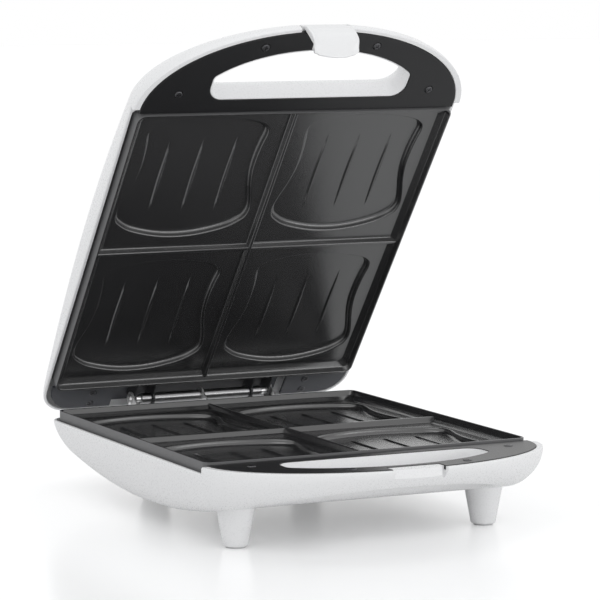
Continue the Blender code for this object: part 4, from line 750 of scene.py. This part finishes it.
def build_clip():
    """The latch, drawn from the side as when shut, its side edges eased and its lip curved."""
    axis = Vector((0, handle_front + latch_axis_setback, 2 * shut_middle - handle_rim + latch_axis_height))
    rim_face = 2 * shut_middle - handle_rim
    arm_back = catch_face - 2 * running_gap
    hook_low = rim_face - latch_hook_drop - latch_hook_height

    def knuckle(degrees):
        return on_arc(axis.y, axis.z, latch_knuckle, math.radians(degrees))

    outer = [knuckle(20 + 160 * i / 12) for i in range(13)]
    control = [knuckle(180), (handle_front, rim_face + latch_axis_height / 3)]
    control += [(handle_front - latch_bulge * out, rim_face - latch_drop * down)
                for out, down in latch_front]
    for i in range(1, len(control) - 1):
        p0, p1, p2 = (Vector(control[k]) for k in (i - 1, i, i + 1))
        p3 = Vector(control[min(i + 2, len(control) - 1)])
        for s in range(5):
            outer.append(curve_point(p0, p1, p2, p3, s / 5).to_tuple())
    outer.append(control[-1])
    inner = [knuckle(degrees) for degrees in (-10, -35, -60, -90)]
    inner += [(arm_back, rim_face + latch_axis_height - latch_knuckle),
              (arm_back, rim_face - latch_hook_drop)]
    inner += [(arm_back + latch_hook_reach * inward, hook_low + latch_hook_height * up)
              for inward, up in reversed(latch_hook)]
    inner.append(((inner[-1][0] + outer[-1][0]) / 2, (inner[-1][1] + outer[-1][1]) / 2))

    def paced(line, count):
        """Points at even distances along a line."""
        marks = [0.0]
        for one, two in zip(line, line[1:]):
            marks.append(marks[-1] + math.dist(one, two))
        result = []
        for i in range(count):
            target = marks[-1] * i / (count - 1)
            k = max(j for j in range(len(marks) - 1) if marks[j] <= target + 1e-12)
            share = (target - marks[k]) / (marks[k + 1] - marks[k])
            result.append(Vector(line[k]).lerp(Vector(line[k + 1]), share))
        return result

    outer, inner = paced(outer, latch_points), paced(inner, latch_points)
    stations = [-1.0, -0.93, -0.86, -0.75, -0.5, -0.25, 0.0, 0.25, 0.5, 0.75, 0.86, 0.93, 1.0]
    flat = latch_face_half - latch_edge
    places = [(share * flat, 0.0) for share in stations]
    for angle in quarter(4, 1):
        place = (flat + latch_edge * math.sin(angle), latch_edge * (1 - math.cos(angle)))
        places.append(place)
        places.insert(0, (-place[0], place[1]))
    rings = []
    for x, inset in places:
        sag = latch_lip_corner * (x / latch_face_half) ** 2
        sunk = latch_panel_sink if abs(x) < flat * 0.9 else 0.0
        ring = []
        for line, other in ((outer, inner), (inner, outer)):
            side = []
            for p, q in zip(line, other):
                toward = q - p
                reach = min(inset, toward.length * 0.4)
                y, z = p + toward.normalized() * reach
                if line is outer:
                    low = ((rim_face - latch_drop * latch_sag_start - z)
                           / (latch_drop * (1 - latch_sag_start)))
                    low = min(1.0, max(0.0, low))
                else:
                    low = 0.6 * min(1.0, max(0.0, (rim_face - latch_hook_drop - z) / latch_hook_height))
                draw = min(1.0, max(0.0, (rim_face - z) / latch_drop))
                narrow = 1 + (latch_lip_half / latch_face_half - 1) * draw
                back = sunk if line is outer and z < rim_face else 0.0
                side.append((x * narrow + latch_sway, y + back, z + sag * low * low * (3 - 2 * low)))
            ring += side if line is outer else side[::-1]
        rings.append(ring)
    clip = loft(rings)
    bore = prism(circle(axis.y, axis.z, latch_pin_radius + fit_gap, 24), -0.03, 0.03)
    cut(clip, moved(bore, Matrix(((0, 0, 1, 0), (1, 0, 0, 0), (0, 1, 0, 0), (0, 0, 0, 1)))))
    return clip


# Materials
def fill(node, values):
    for socket, value in values.items():
        node.inputs[socket].default_value = value


def new_node(tree, kind, values=None):
    """A node with the given values on its inputs."""
    made = tree.nodes.new("ShaderNode" + kind)
    fill(made, values or {})
    return made


def material(name, colour, roughness, metallic=0.0, grain=600.0, bump=0.05, mottle=0.03, rough_play=0.05,
             coat=0.0, specular=0.5, ior=1.5, stretch=(1, 1, 1), speck=None, edge=0.0):
    """Procedural finish: broad mottling of the colour, fine grain in bump and roughness."""
    mat = bpy.data.materials.new(name)
    mat.use_nodes = True
    tree = mat.node_tree
    links = tree.links
    shader = tree.nodes["Principled BSDF"]
    fill(shader, {"Metallic": metallic, "Specular IOR Level": specular, "IOR": ior,
                  "Coat Weight": coat, "Coat Roughness": 0.12})
    place = new_node(tree, "TexCoord")
    mapping = new_node(tree, "Mapping", {"Scale": stretch})
    links.new(place.outputs["Object"], mapping.inputs["Vector"])
    broad = new_node(tree, "TexNoise", {"Scale": 22.0, "Detail": 4.0})
    fine = new_node(tree, "TexNoise", {"Scale": grain, "Detail": 3.0, "Roughness": 0.6})
    for noise in (broad, fine):
        links.new(mapping.outputs["Vector"], noise.inputs["Vector"])
    ramp = new_node(tree, "Mix")
    ramp.data_type = 'RGBA'
    fill(ramp, {6: (*[c * (1 - mottle) for c in colour], 1),
                7: (*[min(1.0, c * (1 + mottle)) for c in colour], 1)})
    links.new(broad.outputs["Fac"], ramp.inputs[0])
    last = ramp.outputs[2]
    if speck:
        amount, size, tint = speck
        dots = new_node(tree, "TexVoronoi", {"Scale": size})
        links.new(place.outputs["Object"], dots.inputs["Vector"])
        near = new_node(tree, "MapRange", {"From Min": 0.22, "From Max": 0.08, "To Max": amount})
        links.new(dots.outputs["Distance"], near.inputs["Value"])
        over = new_node(tree, "Mix")
        over.data_type = 'RGBA'
        fill(over, {7: (*tint, 1)})
        links.new(near.outputs[0], over.inputs[0])
        links.new(last, over.inputs[6])
        last = over.outputs[2]
    links.new(last, shader.inputs["Base Color"])
    rough = new_node(tree, "MapRange", {"To Min": max(0.02, roughness - rough_play),
                                        "To Max": min(1.0, roughness + rough_play)})
    links.new(fine.outputs["Fac"], rough.inputs["Value"])
    links.new(rough.outputs[0], shader.inputs["Roughness"])
    relief = new_node(tree, "Bump", {"Strength": bump, "Distance": 0.0004})
    links.new(fine.outputs["Fac"], relief.inputs["Height"])
    if edge:
        rounding = new_node(tree, "Bevel", {"Radius": edge})
        rounding.samples = 4
        links.new(rounding.outputs["Normal"], relief.inputs["Normal"])
    links.new(relief.outputs["Normal"], shader.inputs["Normal"])
    return mat


white = material("white_plastic", (0.86, 0.86, 0.865), 0.28, grain=900, bump=0.015, mottle=0.008,
                 rough_play=0.04, edge=0.0004)
latch_white = material("latch_plastic", (0.86, 0.86, 0.865), 0.26, grain=900, bump=0.015, mottle=0.008,
                       rough_play=0.04, edge=0.0003)
black = material("black_trim", (0.011, 0.011, 0.012), 0.34, specular=0.36, grain=2600, bump=0.12,
                 mottle=0.10, rough_play=0.06, edge=0.0003)
coating = material("plate_coating", (0.020, 0.020, 0.021), 0.20, grain=2200, bump=0.10, mottle=0.10,
                   speck=(0.30, 900, (0.05, 0.05, 0.052)), ior=2.0)
casting = material("plate_side", (0.13, 0.13, 0.133), 0.46, grain=1600, bump=0.12, mottle=0.08,
                   rough_play=0.06)
chrome = material("chrome", (0.90, 0.90, 0.90), 0.42, 1.0, grain=1200, bump=0.04)
dark_steel = material("dark_steel", (0.030, 0.030, 0.032), 0.45, grain=1400, bump=0.06, mottle=0.10)
steel = material("turned_steel", (0.33, 0.33, 0.335), 0.30, 1.0, grain=900, mottle=0.06,
                 rough_play=0.09, stretch=(4, 0.4, 0.4))
dark_screw = material("dark_screw", (0.10, 0.10, 0.105), 0.36, 1.0, grain=1800, bump=0.06, mottle=0.1)
bright_screw = material("bright_screw", (0.60, 0.60, 0.61), 0.26, 1.0, grain=1800, mottle=0.06)
liner = material("liner_plastic", (0.050, 0.052, 0.060), 0.42, grain=1700, bump=0.12, mottle=0.08)
rubber = material("foot_rubber", (0.62, 0.62, 0.625), 0.75, grain=1500, bump=0.2, mottle=0.08)
gland_rubber = material("gland_rubber", (0.02, 0.02, 0.021), 0.6, grain=1500, bump=0.2, mottle=0.1)
sheath = material("heater_sheath", (0.28, 0.26, 0.24), 0.45, 1.0, grain=900, bump=0.1, mottle=0.18)
reflector = material("reflector", (0.62, 0.62, 0.63), 0.28, 1.0, grain=700, mottle=0.05,
                     stretch=(0.3, 3, 3))
ceramic = material("ceramic", (0.70, 0.68, 0.62), 0.6, grain=1400, bump=0.15, mottle=0.06)
board = material("lamp_board", (0.04, 0.17, 0.08), 0.5, grain=900, bump=0.08, mottle=0.12)
blue_lead = material("blue_lead", (0.04, 0.10, 0.40), 0.5, grain=1500, bump=0.1, mottle=0.08)
red_lead = material("red_lead", (0.42, 0.04, 0.03), 0.5, grain=1500, bump=0.1, mottle=0.08)
red_lens = material("red_lens", (0.50, 0.02, 0.015), 0.14, grain=700, bump=0.02, mottle=0.05, coat=0.6)
green_lens = material("green_lens", (0.03, 0.36, 0.07), 0.14, grain=700, bump=0.02, mottle=0.05, coat=0.6)


def dress(obj, name, finish, body, node, place, angle=34, more=()):
    """Put a finer piece in place of its solid, each face in the finish that it was given."""
    bm = bmesh.new()
    bm.from_mesh(obj.data)
    bmesh.ops.remove_doubles(bm, verts=bm.verts, dist=0.000004)
    bm.to_mesh(obj.data)
    bm.free()
    moved(obj, place)
    obj.name = name
    obj.data.name = name
    given = [face.material_index for face in obj.data.polygons]
    obj.data.materials.clear()
    for each in (finish, *more):
        obj.data.materials.append(each)
    obj.data.polygons.foreach_set("material_index", given)
    obj.data.shade_smooth()
    obj.data.set_sharp_from_angle(angle=math.radians(angle))
    weighted = obj.modifiers.new("weighted", 'WEIGHTED_NORMAL')
    weighted.keep_sharp = True
    weighted.weight = 60
    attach(obj, body)
    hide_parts(node)


def paint_sides(plate):
    """The plate's outer side shows the lighter casting."""
    for face in plate.data.polygons:
        centre = face.center
        across = max(0, abs(centre.x) - half_width + plate_corner)
        along = max(0, plate_corner - half_depth - centre.y, centre.y - plate_rear + plate_corner)
        if abs(face.normal.z) < 0.5 and math.hypot(across, along) > plate_corner - side_match:
            face.material_index = 1


# Dressed pieces
dress(build_shell(base_rear_overhang, base_rear_corner, base_low, base_bow, base_round_end, False),
      "base_casing", white, "base", "base_shell", shift)
casing = build_shell(lid_rear_overhang, lid_rear_corner, lid_low, lid_bow, lid_round_end, True)
for finish in (white, liner):
    casing.data.materials.append(finish)
for face in casing.data.polygons:
    spot = face.center
    if (abs(spot.x) < shelf_half_width + 0.0001 and spot.y > plate_rear and face.normal.z > 0.99
            and abs(spot.z - crest + lid_shelf_drop) < shelf_match):
        face.material_index = 1
dress(casing, "lid_casing", white, "lid", "lid_shell", lid_place, more=(liner,))
dress(build_trim(False), "base_handle_trim", black, "base", "base_trim", shift)
dress(build_trim(True), "lid_handle_trim", black, "lid", "lid_trim", lid_place)
plate = build_plate()
for obj, name, body, node, where in (
        (plate, "lower_cooking_plate", "base", "lower_plate", shift),
        (copy_of(plate), "upper_cooking_plate", "lid", "upper_plate", lid_place)):
    for finish in (coating, casting):
        obj.data.materials.append(finish)
    paint_sides(obj)
    dress(obj, name, coating, body, node, where, 40, (casting,))
dress(build_clip(), "latch", latch_white, "latch", "latch_clip", open_lid, 38)

# Screws, each cross recess turned another way
head = build_screw()
for number, (x, y) in enumerate(trim_screws, 1):
    at = (Matrix.Translation((x, y, trim_top - screw_sink + fit_gap))
          @ Matrix.Rotation(0.7 * number + 0.3, 4, 'Z'))
    for word, body, where in (("base", "base", shift), ("lid", "lid", lid_place)):
        dress(copy_of(head), f"{word}_handle_screw_{number}", dark_screw, body,
              f"{word}_trim_screw_{number}", where @ at)
for side, word in ((-1, "right"), (1, "left")):
    for number, row in enumerate(liner_screw_rows, 1):
        at = Matrix.Translation((side * liner_screw_place, half_depth + row,
                                 crest - liner_drop - screw_sink + fit_gap))
        dress(copy_of(head), f"liner_screw_{word}_{number}", dark_screw, "lid",
              f"rear_liner_screw_{word}_{number}",
              lid_place @ at @ Matrix.Rotation(0.9 * number, 4, 'Z'))
bpy.data.objects.remove(head, do_unlink=True)


def sleeve(start, end):
    bore, edge = rod_radius + sleeve_gap, sleeve_edge
    piece = turned(((sleeve_radius, end - edge), (sleeve_radius, start + edge),
                    (sleeve_radius - edge, start), (bore, start), (bore, end),
                    (sleeve_radius - edge, end)), 40)
    return moved(piece, Matrix.Translation(hinge_point) @ Matrix.Rotation(math.pi / 2, 4, 'Y'))


inner_start = ear_sheet / 2 + sleeve_tab_gap
inner_end = upper_tab_place - ear_sheet / 2 - sleeve_tab_gap
outer_start = upper_tab_place + ear_sheet / 2 + sleeve_tab_gap
outer_end = outer_start + short_sleeve_length
for node, start, end in (("long_sleeve_left", -inner_end, -inner_start),
                         ("long_sleeve_right", inner_start, inner_end),
                         ("short_sleeve_left", -outer_end, -outer_start),
                         ("short_sleeve_right", outer_start, outer_end)):
    dress(sleeve(start, end), "hinge_" + node, steel, "base", node, shift)

for side, word, glass in ((1, "red", red_lens), (-1, "green", green_lens)):
    low_point = lid_lamp_floor - lamp_proud
    profile = [(0, low_point + lamp_length), (lamp_radius, low_point + lamp_length),
               (lamp_radius, low_point + lens_round)]
    for angle in quarter(8, 1):
        profile.append((lamp_radius * math.cos(angle), low_point + lens_round * (1 - math.sin(angle))))
    profile[-1] = (0, low_point)
    lens = moved(turned(profile, 40), Matrix.Translation((side * lamp_side, lamp_depth, 0)))
    dress(lens, f"{word}_lamp", glass, "lid", f"lamp_lens_{word}", lid_place)

# The other solids keep their shape and get their finish
finishes = {
    "lower_heater": sheath, "upper_heater": sheath,
    "lower_reflector": reflector, "upper_reflector": reflector,
    "thermostat": ceramic, "thermal_fuse": ceramic, "terminal_block": ceramic,
    "heater_lead_blue": blue_lead, "heater_lead_red": red_lead, "cord_gland": gland_rubber,
    "hinge_bracket_lower": chrome, "hinge_bracket_upper": dark_steel, "hinge_rod": chrome,
    "rear_liner_left": liner, "rear_liner_right": liner, "lamp_board": board, "latch_pin": steel,
}
for name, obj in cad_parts.items():
    if obj.hide_render:
        continue
    if name.startswith("foot_pad"):
        mat = rubber
    elif "screw" in name:
        mat = bright_screw
    else:
        mat = finishes[name]
    obj.data.materials.clear()
    obj.data.materials.append(mat)

# Camera, solved from the photograph; the focal length is in pixels of the 600 wide frame
azimuth, elevation = math.radians(-26.08), math.radians(6.33)
focal_pixels, frame_pixels, sensor_width = 3013.41, 600, 36
camera_distance, looked_at = 2.2144, Vector((0.01137, 0, 0.15363))
back = Vector((math.sin(azimuth) * math.cos(elevation), -math.cos(azimuth) * math.cos(elevation),
               math.sin(elevation)))
camera_data = bpy.data.cameras.new("camera")
camera_data.sensor_width = sensor_width
camera_data.lens = focal_pixels * sensor_width / frame_pixels
camera_data.clip_start, camera_data.clip_end = 0.05, 60
camera = bpy.data.objects.new("camera", camera_data)
camera.location = shift @ (looked_at + back * camera_distance)
camera.rotation_mode = 'QUATERNION'
camera.rotation_quaternion = (-back).to_track_quat('-Z', 'Y')
scene.collection.objects.link(camera)
bpy.context.scene.camera = camera

# White surroundings and a pale floor that keeps the shadow
world_level, floor_glow, floor_reach = 0.74, 0.20, 12
scene.view_settings.view_transform = 'Standard'
world = bpy.data.worlds.new("studio")
scene.world = world
world.use_nodes = True
tree = world.node_tree
tree.nodes.clear()
ray = new_node(tree, "LightPath")
seen = ray.outputs["Is Camera Ray"]
for way in ("Is Glossy Ray", "Is Transmission Ray"):
    either = new_node(tree, "Math")
    either.operation = 'MAXIMUM'
    tree.links.new(seen, either.inputs[0])
    tree.links.new(ray.outputs[way], either.inputs[1])
    seen = either.outputs[0]
lit = new_node(tree, "Background", {"Color": (0.98, 0.99, 1.0, 1), "Strength": world_level})
plain = new_node(tree, "Background", {"Color": (1, 1, 1, 1), "Strength": 1.0})
blend = new_node(tree, "MixShader")
out = new_node(tree, "OutputWorld")
tree.links.new(seen, blend.inputs[0])
tree.links.new(lit.outputs[0], blend.inputs[1])
tree.links.new(plain.outputs[0], blend.inputs[2])
tree.links.new(blend.outputs[0], out.inputs["Surface"])

floor_mat = bpy.data.materials.new("floor")
floor_mat.use_nodes = True
tree = floor_mat.node_tree
shader = tree.nodes["Principled BSDF"]
fill(shader, {"Base Color": (0.93, 0.93, 0.93, 1), "Roughness": 0.22, "Specular IOR Level": 0.25})
ray = new_node(tree, "LightPath")
glow = new_node(tree, "Emission")
strength = new_node(tree, "Math", {1: floor_glow})
strength.operation = 'MULTIPLY'
tree.links.new(ray.outputs["Is Camera Ray"], strength.inputs[0])
tree.links.new(strength.outputs[0], glow.inputs["Strength"])
both = new_node(tree, "AddShader")
tree.links.new(shader.outputs[0], both.inputs[0])
tree.links.new(glow.outputs[0], both.inputs[1])
tree.links.new(both.outputs[0], tree.nodes["Material Output"].inputs["Surface"])
ground = bmesh.new()
ground.faces.new([ground.verts.new((x * floor_reach, y * floor_reach, 0))
                  for x, y in ((-1, -1), (1, -1), (1, 1), (-1, 1))])
floor = new_object(ground, "floor")
floor.data.materials.append(floor_mat)


def soft_light(name, place, aim, width, height, power):
    data = bpy.data.lights.new(name, 'AREA')
    data.shape = 'RECTANGLE'
    data.size, data.size_y = width, height
    data.energy = power
    lamp = bpy.data.objects.new(name, data)
    lamp.location = place
    lamp.rotation_mode = 'QUATERNION'
    lamp.rotation_quaternion = (Vector(aim) - Vector(place)).to_track_quat('-Z', 'Y')
    scene.collection.objects.link(lamp)


soft_light("key", (-1.6, -1.0, 2.0), (0, 0, 0.1), 1.6, 1.6, 10)
soft_light("top", (0.2, 0.3, 2.4), (0, 0, 0), 1.8, 1.8, 3.5)
soft_light("front", (0.95, -1.9, 0.35), (0, 0, 0.20), 2.4, 0.35, 8.0)
